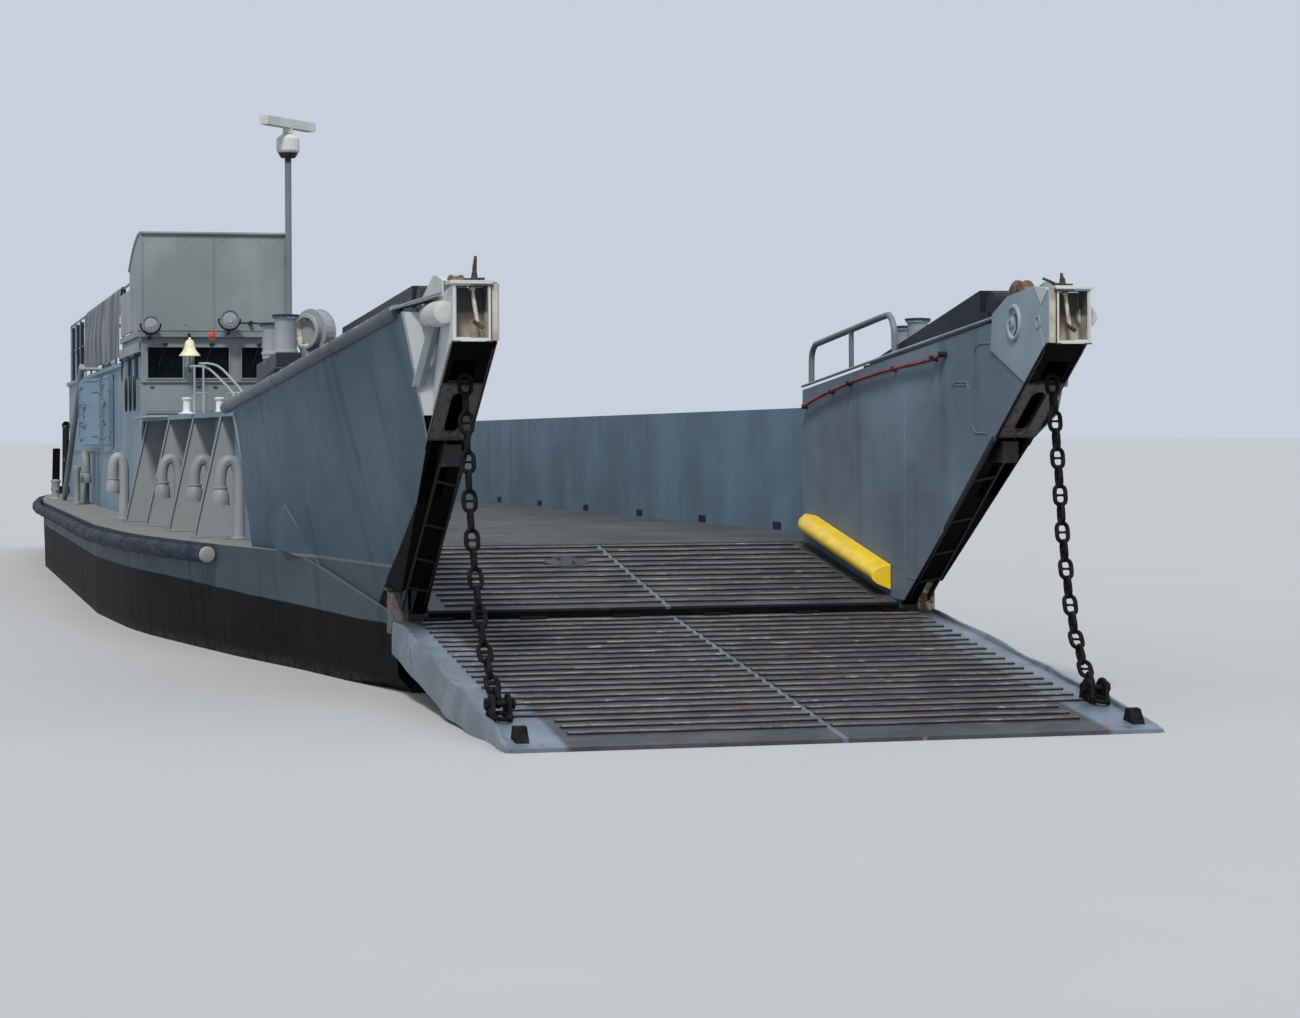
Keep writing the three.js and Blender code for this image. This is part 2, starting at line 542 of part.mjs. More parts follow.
starboardDoors.forEach(([x, openAngle], i) => {
  const mesh = add(`door_starboard_${i + 1}`, onSide(starboard, houseDoor(highDoor)), hazeGrey);
  mesh.position.set(x + door.half + door.lap, house.outer - door.hingeOut, 0);
  mesh.rotation.z = THREE.MathUtils.degToRad(openAngle);
});
add('door_well', houseDoor(tallDoor), hazeGrey)
  .position.set(wellDoor + door.half + door.lap, house.inner + door.hingeOut, 0);

// Radar mast at the bridge's fore corner, its pedestal and its turning scanner
const mast = { x: house.front + 0.11, y: -1.5, foot: 1.6, top: 5 };
function radarMast() {
  const { x, y, foot, top } = mast;
  const pole = rod([x, y, foot], [x, y, top], 0.045, 12);
  const clamps = [2.2, 3.6].map((z) => block([x - 0.1, x], [y - 0.04, y + 0.04], [z - 0.04, z + 0.04]));
  const pedestal = turned([[0, top - 0.02], [0.1, top - 0.02], [0.16, top + 0.08], [0.16, top + 0.24],
    [0.09, top + 0.3], [0, top + 0.3]]).translate(x, y, 0);
  return join(pole, ...clamps, pedestal);
}
add('radar_mast', radarMast(), tipWhite);
const scannerZ = mast.top + 0.31;
const scanner = join(block([-0.07, 0.07], [-0.6, 0.6], [0.08, 0.2]), rod([0, 0, 0], [0, 0, 0.1], 0.07, 12));
const scannerMesh = add('radar_scanner', scanner, tipWhite);
scannerMesh.position.set(mast.x, mast.y, scannerZ);
scannerMesh.rotation.z = THREE.MathUtils.degToRad(50);

// Rails round the deckhouse roof and the back of the bridge
function roofRail() {
  const { aft, outer, inner, roof } = house;
  const [top, middle, radius, sides] = [3.37, 2.85, 0.02, 5];
  const [y0, y1] = [outer + 0.04, inner - 0.04];
  const [x0, x1] = [aft + 0.1, -17.4];
  const pieces = [];
  const count = 10;
  for (let i = 0; i <= count; i += 1) {
    const x = between(x0, x1, i / count);
    const foot = (x > pilot.aft - 0.2 ? pilot.roof + 0.08 : roof + 0.06) + gap;
    for (const y of [y0, y1]) pieces.push(rod([x, y, foot], [x, y, top], radius, sides));
  }
  for (const z of [middle, top]) {
    for (const y of [y0, y1]) pieces.push(rod([x0, y, z], [x1, y, z], radius, sides));
    pieces.push(rod([x0, y0, z], [x0, y1, z], radius, sides));
  }
  return join(...pieces);
}
add('roof_rail', roofRail(), hazeGrey);
add('wing_handrail_port', wingHandrail(), houseGrey);

// Stern gate across the after end of the well, hinged at its foot
const gate = { x: -36.62, z: 0.17, inner: house.inner + 0.1, outer: 2.9, height: 1.25 };
function sternGate() {
  const { inner, outer, height } = gate;
  const leaf = block([-0.06, 0.03], [inner, outer], [0.07, height]);
  const ribs = [0.1, 0.35, 0.6, 0.85].map((share) => {
    const y = between(inner, outer, share);
    return block([-0.12, -0.05], [y, y + 0.06], [0.07, height - 0.1]);
  });
  const barrel = rod([0, inner + 0.1, 0], [0, outer - 0.1, 0], 0.06, 12);
  const web = block([-0.04, 0.02], [inner + 0.15, outer - 0.15], [0.02, 0.1]);
  return join(leaf, ...ribs, barrel, web);
}
add('stern_gate', sternGate(), hazeGrey).position.set(gate.x, 0, gate.z);

// Stern anchor gear on the starboard quarter: frame, drum and the stowed anchor
const winch = { x: -34.6, y: -2.75, z: 0.75 };
function winchFrame() {
  const { x, y, z } = winch;
  const cheeks = [-0.55, 0.49].map((offset) => sidePlate([[x - 0.5, gap], [x + 0.5, gap], [x + 0.2, z + 0.2],
    [x - 0.2, z + 0.2]], [y + offset, y + offset + 0.06]));
  const bores = rod([x, y - 0.7, z], [x, y + 0.7, z], 0.08, 12);
  const base = block([x - 0.55, x + 0.55], [y - 0.6, y + 0.6], [gap, 0.08]);
  return cut(join(base, ...cheeks), bores);
}
function winchDrum() {
  const core = rod([0, -0.44, 0], [0, 0.44, 0], 0.24, 16);
  const axle = rod([0, -0.6, 0], [0, 0.6, 0], 0.06, 12);
  const flanges = [-0.44, 0.4].map((y) => rod([0, y, 0], [0, y + 0.04, 0], 0.42, 20));
  return join(core, axle, ...flanges);
}
add('winch_frame', winchFrame(), hazeGrey);
add('winch_drum', winchDrum(), chainBlack).position.set(winch.x, winch.y, winch.z);

function sternAnchor() {
  const x = -36.77;
  const y = -3.45;
  const shank = sidePlate([[x - 0.06, gap], [x + 0.1, gap], [x + 0.9, 1.5], [x + 0.74, 1.5]], [y - 0.05, y + 0.05]);
  const crown = block([x - 0.1, x + 0.16], [y - 0.24, y + 0.24], [gap, 0.16]);
  const flukes = [-0.22, 0.14].map((offset) => sidePlate([[x - 0.1, 0.05], [x + 0.16, 0.05], [x + 0.5, 0.95]],
    [y + offset, y + offset + 0.08]));
  return join(shank, crown, ...flukes);
}
add('stern_anchor', sternAnchor(), chainBlack);

// Engine-room hatch on the after deck, beside the winch
const hatch = { x: -34.6, y: -1.76, half: 0.34, rim: 0.25 };
function hatchCoaming() {
  const { x, y, half, rim } = hatch;
  return cut(block([x - half, x + half], [y - half, y + half], [gap, rim]),
    block([x - half + 0.05, x + half - 0.05], [y - half + 0.05, y + half - 0.05], [0.05, rim + 0.1]));
}
function hatchLid() {
  const { half } = hatch;
  return join(block([-2 * half - 0.05, 0.02], [-half - 0.03, half + 0.03], [-0.03, 0.03]),
    rod([-1.5 * half, -0.1, 0.05], [-1.5 * half, 0.1, 0.05], 0.025, 8));
}
add('hatch_coaming', hatchCoaming(), hazeGrey);
const hatchHinge = { x: hatch.x + hatch.half + 0.03, z: hatch.rim + 0.055 };
add('hatch_lid', hatchLid(), hazeGrey).position.set(hatchHinge.x, hatch.y, hatchHinge.z);

// Nozzles, propellers on their shafts, and rudders
function propellerNozzle() {
  const { fore, aft, inner, outer } = nozzle;
  const ring = new THREE.LatheGeometry([[inner, aft], [outer - 0.02, aft], [outer, fore - 0.15],
    [outer - 0.03, fore], [inner, fore - 0.02], [inner, aft]].map(([r, z]) => new THREE.Vector2(r, z)), 28)
    .rotateX(Math.PI / 2).rotateY(Math.PI / 2).translate(0, shaft.y, shaft.z);
  const strut = block([aft + 0.05, fore - 0.1], [shaft.y - 0.06, shaft.y + 0.06],
    [shaft.z + outer - 0.05, shaft.z + tunnelRadius - 0.014]);
  return join(ring, strut);
}

function propellerAndShaft() {
  const blades = [];
  const bladeCount = 4;
  for (let i = 0; i < bladeCount; i += 1) {
    const angle = (i / bladeCount) * 2 * Math.PI;
    const blade = outline([[-0.1, 0.05], [0.1, 0.05], [0.2, 0.35], [0.12, 0.52], [-0.12, 0.52], [-0.2, 0.35]], 0.03);
    blade.translate(0, 0, -0.015).rotateY(THREE.MathUtils.degToRad(55)).rotateX(angle);
    blades.push(blade);
  }
  const hub = rod([-0.2, 0, 0], [0.18, 0, 0], 0.08, 14, 0.13);
  const line = rod([0.1, 0, 0], [shaft.from - propellerX, 0, 0], shaft.radius, 12);
  return join(hub, line, ...blades);
}

function rudderBlade() {
  const { stock, fore, aft, top, bottom } = rudder;
  const plan = [[fore - stock, 0], [fore - stock - 0.15, 0.05], [aft - stock, 0.012],
    [aft - stock, -0.012], [fore - stock - 0.15, -0.05]];
  const middle = (top + bottom) / 2;
  return join(planPlate(plan, [bottom - middle, top - middle - 0.1]),
    rod([0, 0, 0], [0, 0, shaft.z + tunnelRadius - 0.025 - middle], 0.05, 12));
}

for (const [name, side] of [['starboard', starboard], ['port', port]]) {
  add(`nozzle_${name}`, onSide(side, propellerNozzle()), hazeGrey);
  add(`propeller_${name}`, propellerAndShaft(), bronze)
    .position.set(propellerX, side * shaft.y, shaft.z);
  add(`rudder_${name}`, rudderBlade(), bottomBlack)
    .position.set(rudder.stock, side * shaft.y, (rudder.top + rudder.bottom) / 2);
}

// The model in millimetres, with its origin near amidships on the flat bottom
const metre = 1000 * modelScale;
craft.scale.setScalar(metre);
craft.position.set(originToHinge * metre, 0, deckAboveBottom * metre);
const model = new THREE.Group();
model.add(craft);

export default model;
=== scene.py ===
import json
import math

import bmesh
import bpy
from mathutils import Matrix, Vector

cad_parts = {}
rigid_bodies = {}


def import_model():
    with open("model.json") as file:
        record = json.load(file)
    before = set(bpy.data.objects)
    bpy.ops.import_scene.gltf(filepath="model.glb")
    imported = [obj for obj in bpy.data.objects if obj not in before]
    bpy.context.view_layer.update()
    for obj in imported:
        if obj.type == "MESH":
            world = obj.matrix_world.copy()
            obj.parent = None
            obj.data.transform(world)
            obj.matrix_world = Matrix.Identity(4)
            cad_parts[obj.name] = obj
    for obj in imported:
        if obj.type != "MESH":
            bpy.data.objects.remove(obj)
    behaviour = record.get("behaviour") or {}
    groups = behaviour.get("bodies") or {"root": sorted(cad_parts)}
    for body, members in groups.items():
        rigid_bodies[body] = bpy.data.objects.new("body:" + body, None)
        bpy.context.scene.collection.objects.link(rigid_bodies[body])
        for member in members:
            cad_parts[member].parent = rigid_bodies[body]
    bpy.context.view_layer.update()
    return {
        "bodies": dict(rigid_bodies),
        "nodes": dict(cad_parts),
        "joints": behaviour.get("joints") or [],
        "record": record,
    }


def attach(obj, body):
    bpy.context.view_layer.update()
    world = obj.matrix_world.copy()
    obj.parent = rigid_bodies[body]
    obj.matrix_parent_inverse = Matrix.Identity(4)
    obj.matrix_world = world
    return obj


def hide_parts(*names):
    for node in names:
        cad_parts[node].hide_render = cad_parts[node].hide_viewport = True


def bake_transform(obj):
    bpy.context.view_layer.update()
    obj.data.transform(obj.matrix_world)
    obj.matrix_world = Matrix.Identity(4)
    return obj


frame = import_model()
nodes = frame["nodes"]

# The boat is laid out in real metres from the ramp hinge line, the centreline and the deck,
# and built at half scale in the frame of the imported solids
scaleOfModel = 0.5
hingeFromOrigin = 16.68
deckFromBottom = 2.4
toModel = Matrix.Scale(scaleOfModel, 4) @ Matrix.Translation((hingeFromOrigin, 0, deckFromBottom))
sideNames = {-1: "starboard", 1: "port"}


def between(a, b, share):
    return a + (b - a) * share


def around(count):
    return [2 * math.pi * k / count for k in range(count)]


# Mesh shapes, gathered in real metres and made into one piece of the model
class Shape:
    def __init__(self):
        self.mesh = bmesh.new()

    def shell(self, points, faces):
        made = [self.mesh.verts.new(p) for p in points]
        built = [self.mesh.faces.new([made[i] for i in face]) for face in faces]
        bmesh.ops.recalc_face_normals(self.mesh, faces=built)
        return self

    # Sections joined one after another, with flat ends or round in a ring
    def loft(self, rings, closed=False):
        count, size = len(rings), len(rings[0])
        faces = [] if closed else [list(range(size)), list(range(size * (count - 1), size * count))]
        for r in range(count if closed else count - 1):
            after = (r + 1) % count
            for i in range(size):
                j = (i + 1) % size
                faces.append([r * size + i, r * size + j, after * size + j, after * size + i])
        return self.shell([p for ring in rings for p in ring], faces)

    def block(self, xs, ys, zs):
        corners = ((0, 0), (1, 0), (1, 1), (0, 1))
        return self.loft([[(x, ys[i], zs[j]) for i, j in corners] for x in xs])

    def blocks(self, *boxes):
        for box in boxes:
            self.block(*box)
        return self

    # A flat plate whose outline lies across the named axis
    def plate(self, outline, axis, span):
        order = {"x": lambda a, b, d: (d, a, b), "y": lambda a, b, d: (a, d, b)}[axis]
        return self.loft([[order(a, b, depth) for a, b in outline] for depth in span])

    def rod(self, start, end, radius, sides=16):
        return self.pipe([start, end], radius, sides)

    # A round bar or tube along a path of points, with one radius or one for each point
    def pipe(self, path, radius, sides=12, closed=False):
        path = [Vector(p) for p in path]
        radii = radius if hasattr(radius, "__len__") else [radius] * len(path)
        count = len(path)
        tangents = []
        for i in range(count):
            before = path[(i - 1) % count] if closed else path[max(i - 1, 0)]
            after = path[(i + 1) % count] if closed else path[min(i + 1, count - 1)]
            tangents.append((after - before).normalized())
        normal = tangents[0].orthogonal().normalized()
        rings = []
        for point, tangent, size in zip(path, tangents, radii):
            normal = (normal - tangent * normal.dot(tangent)).normalized()
            side = tangent.cross(normal)
            rings.append([point + size * (math.cos(a) * normal + math.sin(a) * side) for a in around(sides)])
        return self.loft(rings, closed)

    # A closed ring of round bar, whose points come from the cosine and the sine of each angle
    def hoop(self, pointAt, radius, count, sides=8):
        path = [pointAt(math.cos(a), math.sin(a)) for a in around(count)]
        return self.pipe(path, radius, sides, closed=True)

    # A profile of (radius, distance) turned about an axis through the centre
    def turned(self, profile, centre, direction=(0, 0, 1), sides=24):
        axis = Vector(direction).normalized()
        normal = axis.orthogonal().normalized()
        side = axis.cross(normal)
        spokes = [math.cos(a) * normal + math.sin(a) * side for a in around(sides)]
        return self.loft([[Vector(centre) + axis * distance + max(radius, 1e-4) * spoke for spoke in spokes]
                          for radius, distance in profile])

    def place(self, matrix):
        self.mesh.transform(matrix)
        return self

    def mirror(self):
        self.mesh.transform(Matrix.Scale(-1, 4, (0, 1, 0)))
        bmesh.ops.reverse_faces(self.mesh, faces=self.mesh.faces[:])
        return self

    def toData(self, name):
        data = bpy.data.meshes.new(name)
        self.mesh.to_mesh(data)
        self.mesh.free()
        return data

    # A small shape in its own coordinates, for a tree to repeat
    def seed(self, name):
        return looseObject(name, self.toData(name))

    def make(self, name, material, slot, bevel=0.0, smoothTo=32, body="hull", node=None):
        data = self.place(toModel).toData(name)
        return finishPiece(name, data, material, bevel, smoothTo, body, node)


def looseObject(name, data):
    made = bpy.data.objects.new(name, data)
    bpy.context.scene.collection.objects.link(made)
    return made


# Smooths a mesh, rounds its edges, and gives it its material, its body and the node that it replaces
def finishPiece(name, data, material, bevel=0.0, smoothTo=32, body="hull", node=None):
    data.shade_smooth()
    data.set_sharp_from_angle(angle=math.radians(smoothTo))
    made = looseObject(name, data)
    data.materials.clear()
    data.materials.append(material)
    if bevel:
        edge = made.modifiers.new("edges", "BEVEL")
        edge.width = bevel * scaleOfModel
        edge.segments = 2
        edge.limit_method = "ANGLE"
        edge.angle_limit = math.radians(40)
        edge.harden_normals = True
    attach(made, body)
    if node:
        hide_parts(node)
    return made


def smoothPath(points, steps=8):
    points = [Vector(p) for p in points]
    ends = [2 * points[0] - points[1], *points, 2 * points[-1] - points[-2]]
    path = []
    for i in range(1, len(ends) - 2):
        a, b, c, d = ends[i - 1:i + 3]
        for step in range(steps):
            t = step / steps
            path.append(0.5 * (2 * b + (c - a) * t + (2 * a - 5 * b + 4 * c - d) * t ** 2
                               + (3 * b - a - 3 * c + d) * t ** 3))
    return [*path, points[-1]]


# Geometry Nodes: a tree with named inputs for its sizes, grown on a curve or on points
class Tree:
    kinds = {int: "NodeSocketInt", float: "NodeSocketFloat", bpy.types.Object: "NodeSocketObject",
             bpy.types.Material: "NodeSocketMaterial"}

    def __init__(self, name, sizes, material):
        self.group = bpy.data.node_groups.new(name, "GeometryNodeTree")
        self.sizes = {**sizes, "Material": material}
        faces = self.group.interface
        faces.new_socket("Geometry", in_out="INPUT", socket_type="NodeSocketGeometry")
        faces.new_socket("Geometry", in_out="OUTPUT", socket_type="NodeSocketGeometry")
        for key, value in self.sizes.items():
            faces.new_socket(key, in_out="INPUT", socket_type=self.kinds[type(value)])
        self.inlet = self.group.nodes.new("NodeGroupInput")

    def size(self, key):
        return self.inlet.outputs[key]

    def node(self, kind, settings, values, output=0):
        made = self.group.nodes.new(kind)
        for key, value in settings.items():
            setattr(made, key, value)
        for key, value in (values.items() if hasattr(values, "items") else enumerate(values)):
            if isinstance(value, bpy.types.NodeSocket):
                self.group.links.new(value, made.inputs[key])
            else:
                made.inputs[key].default_value = value
        return made.outputs[output]

    def shape(self, key):
        return self.node("GeometryNodeObjectInfo", {}, {"Object": self.size(key)}, "Geometry")

    def turn(self, angles):
        about = self.node("ShaderNodeCombineXYZ", {}, angles)
        return self.node("FunctionNodeEulerToRotation", {}, {"Euler": about})

    def random(self, low, high, seed):
        return self.node("FunctionNodeRandomValue", {"data_type": "FLOAT"},
                         {"Min": low, "Max": high, "Seed": seed}, 1)

    def copies(self, points, shape, rotation):
        return self.node("GeometryNodeInstanceOnPoints", {},
                         {"Points": points, "Instance": shape, "Rotation": rotation})

    # Copies of a shape along the carrier's curve, by their "Count" or by the "Length" between them
    def alongCurve(self, measure, shape):
        points = self.node("GeometryNodeCurveToPoints", {"mode": measure.upper()},
                           {"Curve": self.size("Geometry"), measure: self.size(measure)}, "Points")
        along = self.node("FunctionNodeAlignRotationToVector", {"axis": "X"},
                          {"Vector": points.node.outputs["Tangent"]})
        return self.copies(points, shape, along)

    # The finished mesh in model metres, with the carrier and the repeated shape taken away
    def grow(self, result, carrier, seed, place=None):
        real = self.node("GeometryNodeRealizeInstances", {}, [result])
        painted = self.node("GeometryNodeSetMaterial", {},
                            {"Geometry": real, "Material": self.size("Material")})
        outlet = self.group.nodes.new("NodeGroupOutput")
        self.group.links.new(painted, outlet.inputs[0])
        growth = carrier.modifiers.new("growth", "NODES")
        growth.node_group = self.group
        for item in self.group.interface.items_tree:
            if item.in_out == "INPUT" and item.name in self.sizes:
                growth[item.identifier] = self.sizes[item.name]
        bpy.context.view_layer.update()
        graph = bpy.context.evaluated_depsgraph_get()
        data = bpy.data.meshes.new_from_object(carrier.evaluated_get(graph), depsgraph=graph)
        carrier.modifiers.remove(growth)
        bpy.data.objects.remove(carrier)
        bpy.data.objects.remove(seed)
        data.transform(toModel @ place if place else toModel)
        return data


def pointCarrier(points):
    data = bpy.data.meshes.new("points")
    data.from_pydata([tuple(p) for p in points], [], [])
    return looseObject("points", data)


def curveCarrier(points):
    data = bpy.data.curves.new("route", "CURVE")
    data.dimensions = "3D"
    spline = data.splines.new("POLY")
    spline.points.add(len(points) - 1)
    for spot, p in zip(spline.points, points):
        spot.co = (*p, 1)
    return looseObject("route", data)


# The same small shape on every point, turned so that its z axis lies along a direction
def repeatOnPoints(name, points, seed, direction, material):
    tree = Tree(name, {"Shape": seed, "Spin": 0.4}, material)
    spin = tree.turn({"Z": tree.random(0.0, tree.size("Spin"), 7)})
    turned = tree.node("FunctionNodeAlignRotationToVector", {"axis": "Z"},
                       {"Rotation": spin, "Vector": direction})
    placed = tree.copies(tree.size("Geometry"), tree.shape("Shape"), turned)
    return finishPiece(name, tree.grow(placed, pointCarrier(points), seed), material)


def boltHead(radius, height):
    profile = [(radius, -0.004), (radius, height * 0.6), (radius * 0.75, height)]
    return Shape().turned(profile, (0, 0, 0), sides=6).seed("bolt_head")


# Shader nodes, with arithmetic written as plain expressions
class Wire:
    def __init__(self, paint, socket):
        self.paint = paint
        self.socket = socket

    def maths(self, operation, *values):
        return self.paint.node("ShaderNodeMath", {"operation": operation}, values)

    def __add__(self, other):
        return self.maths("ADD", self, other)

    def __sub__(self, other):
        return self.maths("SUBTRACT", self, other)

    def __rsub__(self, other):
        return self.maths("SUBTRACT", other, self)

    def __mul__(self, other):
        return self.maths("MULTIPLY", self, other)

    def __abs__(self):
        return self.maths("ABSOLUTE", self)

    __radd__ = __add__
    __rmul__ = __mul__

    def orMore(self, other):
        return self.maths("MAXIMUM", self, other)

    def orLess(self, other):
        return self.maths("MINIMUM", self, other)

    # 0 below the first value, 1 above the second, smooth between
    def rise(self, low, high):
        flipped = low > high
        return self.paint.node("ShaderNodeMapRange", {"interpolation_type": "SMOOTHSTEP"}, {
            "Value": self, "From Min": min(low, high), "From Max": max(low, high),
            "To Min": 1.0 if flipped else 0.0, "To Max": 0.0 if flipped else 1.0})


class Paint:
    def __init__(self, name):
        self.material = bpy.data.materials.new(name)
        self.material.use_nodes = True
        self.tree = self.material.node_tree
        self.tree.nodes.clear()
        coordinates = self.tree.nodes.new("ShaderNodeTexCoord")
        self.place = Wire(self, coordinates.outputs["Object"])
        self.x, self.y, self.z = self.parts(coordinates.outputs["Object"])
        self.nx, self.ny, self.nz = self.parts(coordinates.outputs["Normal"])
        # the layout's real metres: along from the hinge, aside from the middle and up from the deck
        self.along = self.x * (1 / scaleOfModel) - hingeFromOrigin
        self.aside = abs(self.y) * (1 / scaleOfModel)
        self.up = self.z * (1 / scaleOfModel) - deckFromBottom

    def parts(self, socket):
        separate = self.tree.nodes.new("ShaderNodeSeparateXYZ")
        self.tree.links.new(socket, separate.inputs[0])
        return [Wire(self, part) for part in separate.outputs]

    def node(self, kind, settings, values, output=0):
        made = self.tree.nodes.new(kind)
        for key, value in settings.items():
            setattr(made, key, value)
        for key, value in (values.items() if hasattr(values, "items") else enumerate(values)):
            if isinstance(value, Wire):
                self.tree.links.new(value.socket, made.inputs[key])
            else:
                made.inputs[key].default_value = value
        return Wire(self, made.outputs[output])

    def mix(self, share, a, b, blend="MIX"):
        colours = [(*c, 1.0) if isinstance(c, tuple) else c for c in (a, b)]
        return self.node("ShaderNodeMix", {"data_type": "RGBA", "blend_type": blend},
                         {0: share, 6: colours[0], 7: colours[1]}, 2)

    def noise(self, scale, detail=4.0, roughness=0.55, stretch=None):
        where = self.place
        if stretch:
            where = self.node("ShaderNodeMapping", {}, {"Vector": where, "Scale": stretch})
        return self.node("ShaderNodeTexNoise", {},
                         {"Vector": where, "Scale": scale, "Detail": detail, "Roughness": roughness})

    # bumps are (height, distance, strength)
    def finish(self, colour, roughness=0.5, bumps=(), metallic=0.0, coat=0.0, specular=0.5):
        values = {"Base Color": colour, "Roughness": roughness, "Metallic": metallic, "Coat Weight": coat,
                  "Specular IOR Level": specular}
        for height, distance, strength in bumps:
            bump = {"Height": height, "Distance": distance, "Strength": strength}
            if "Normal" in values:
                bump["Normal"] = values["Normal"]
            values["Normal"] = self.node("ShaderNodeBump", {}, bump)
        shader = self.node("ShaderNodeBsdfPrincipled", {}, values)
        output = self.tree.nodes.new("ShaderNodeOutputMaterial")
        self.tree.links.new(shader.socket, output.inputs[0])
        return self.material


rustBrown = (0.085, 0.036, 0.016)
rustDark = (0.035, 0.018, 0.012)


def scaled(colour, factor, lift=0.0):
    return tuple(min(1, c * factor + lift) for c in colour)


# Weathered boat paint: patchy colour, runs of dirt and rust, small chips, dents and brush texture
def boatPaint(name, base, extra=None, patches=0.16, runs=0.35, rust=0.5, dents=0.5,
              dustTop=0.3, specular=0.4, across=(9, 2.5)):
    paint = Paint(name)
    broad = paint.noise(1.3, 3)
    cloudy = paint.noise(7, 5, 0.6)
    fine = paint.noise(60, 3)
    colour = paint.mix(broad.rise(0.32, 0.68), scaled(base, 1 - patches), scaled(base, 1 + patches, 0.004))
    colour = paint.mix(cloudy.rise(0.45, 0.75) * 0.35, colour, scaled(base, 0.84, 0.008))
    dirt = paint.noise(1, 4, 0.6, stretch=(*across, 0.7)).rise(0.52, 0.75) * runs
    colour = paint.mix(dirt, colour, scaled(base, 0.55))
    chips = (paint.noise(26, 5, 0.7).rise(0.66, 0.7) * broad.rise(0.5, 0.62)).orLess(1)
    streaks = paint.noise(1, 3, 0.5, stretch=(2 * across[0], 2 * across[1], 0.9))
    rusting = (chips * 0.9 + streaks.rise(0.66, 0.74) * cloudy.rise(0.5, 0.7) * 0.5) * rust
    colour = paint.mix(rusting.orLess(1), colour, rustBrown)
    colour = paint.mix(paint.nz.rise(0.5, 0.95) * dustTop, colour, scaled(base, 0.6, 0.12))
    roughness = 0.5 + dirt * 0.25 + rusting * 0.3 + (fine - 0.5) * 0.12
    if extra:
        colour, roughness = extra(paint, colour, roughness)
    bumps = [(paint.noise(2.6, 2), 0.02 * dents, 0.6), (cloudy, 0.002, 0.35), (fine, 0.0006, 0.3)]
    return paint.finish(colour, roughness, bumps, specular=specular)


# Heights above the flat bottom, in model metres
waterline = 0.63
bootTop = 0.998


# The black bottom, whose upper edge sinks a little towards the bow
def bottomOf(paint, colour, roughness):
    wavy = paint.z + (paint.noise(3, 2) - 0.5) * 0.012
    bowDrop = paint.along.rise(-9.0, 0.0) * paint.aside.rise(2.24, 2.32)
    low = (wavy + bowDrop * 0.067).rise(bootTop + 0.004, bootTop - 0.004)
    blackPaint = paint.mix(paint.noise(9, 5, 0.6), (0.0005, 0.0008, 0.001), (0.0035, 0.004, 0.005))
    salt = paint.noise(1, 4, stretch=(8, 8, 1.2)).rise(0.55, 0.8) * 0.3
    blackPaint = paint.mix(salt, blackPaint, (0.015, 0.016, 0.017))
    slime = wavy.rise(waterline + 0.07, waterline + 0.01) * paint.noise(14, 4).rise(0.35, 0.6)
    blackPaint = paint.mix(slime * 0.7, blackPaint, (0.03, 0.034, 0.026))
    return paint.mix(low, colour, blackPaint), roughness + low * 0.12


# The hull's sides and its walked side decks in pale dirt, with painted shade on the forward faces in the
# hinge gap
def hullExtra(paint, colour, roughness):
    top = paint.nz.rise(0.55, 0.8) * paint.along.rise(-2.3, -2.6)
    dust = paint.mix(paint.noise(6, 6, 0.65), (0.13, 0.132, 0.13), (0.27, 0.272, 0.265))
    dust = paint.mix(paint.noise(22, 4, 0.7).rise(0.58, 0.7) * 0.5, dust, rustBrown)
    colour = paint.mix(top * 0.9, colour, dust)
    rim = paint.up.rise(-0.09, -0.01) * (1 - top)
    rusty = rim * paint.noise(5, 5, 0.7).rise(0.5, 0.66)
    colour = paint.mix(rusty * 0.8, colour, rustBrown)
    # Faces that look forward in the gap at the ramp hinge are painted darker, as shade
    gap = paint.along.rise(-0.2, -0.05) * paint.nx.rise(0.4, 0.8) * paint.aside.rise(2.24, 2.18)
    colour = paint.mix(gap, colour, (0.045, 0.052, 0.064))
    return bottomOf(paint, colour, roughness + top * 0.25)
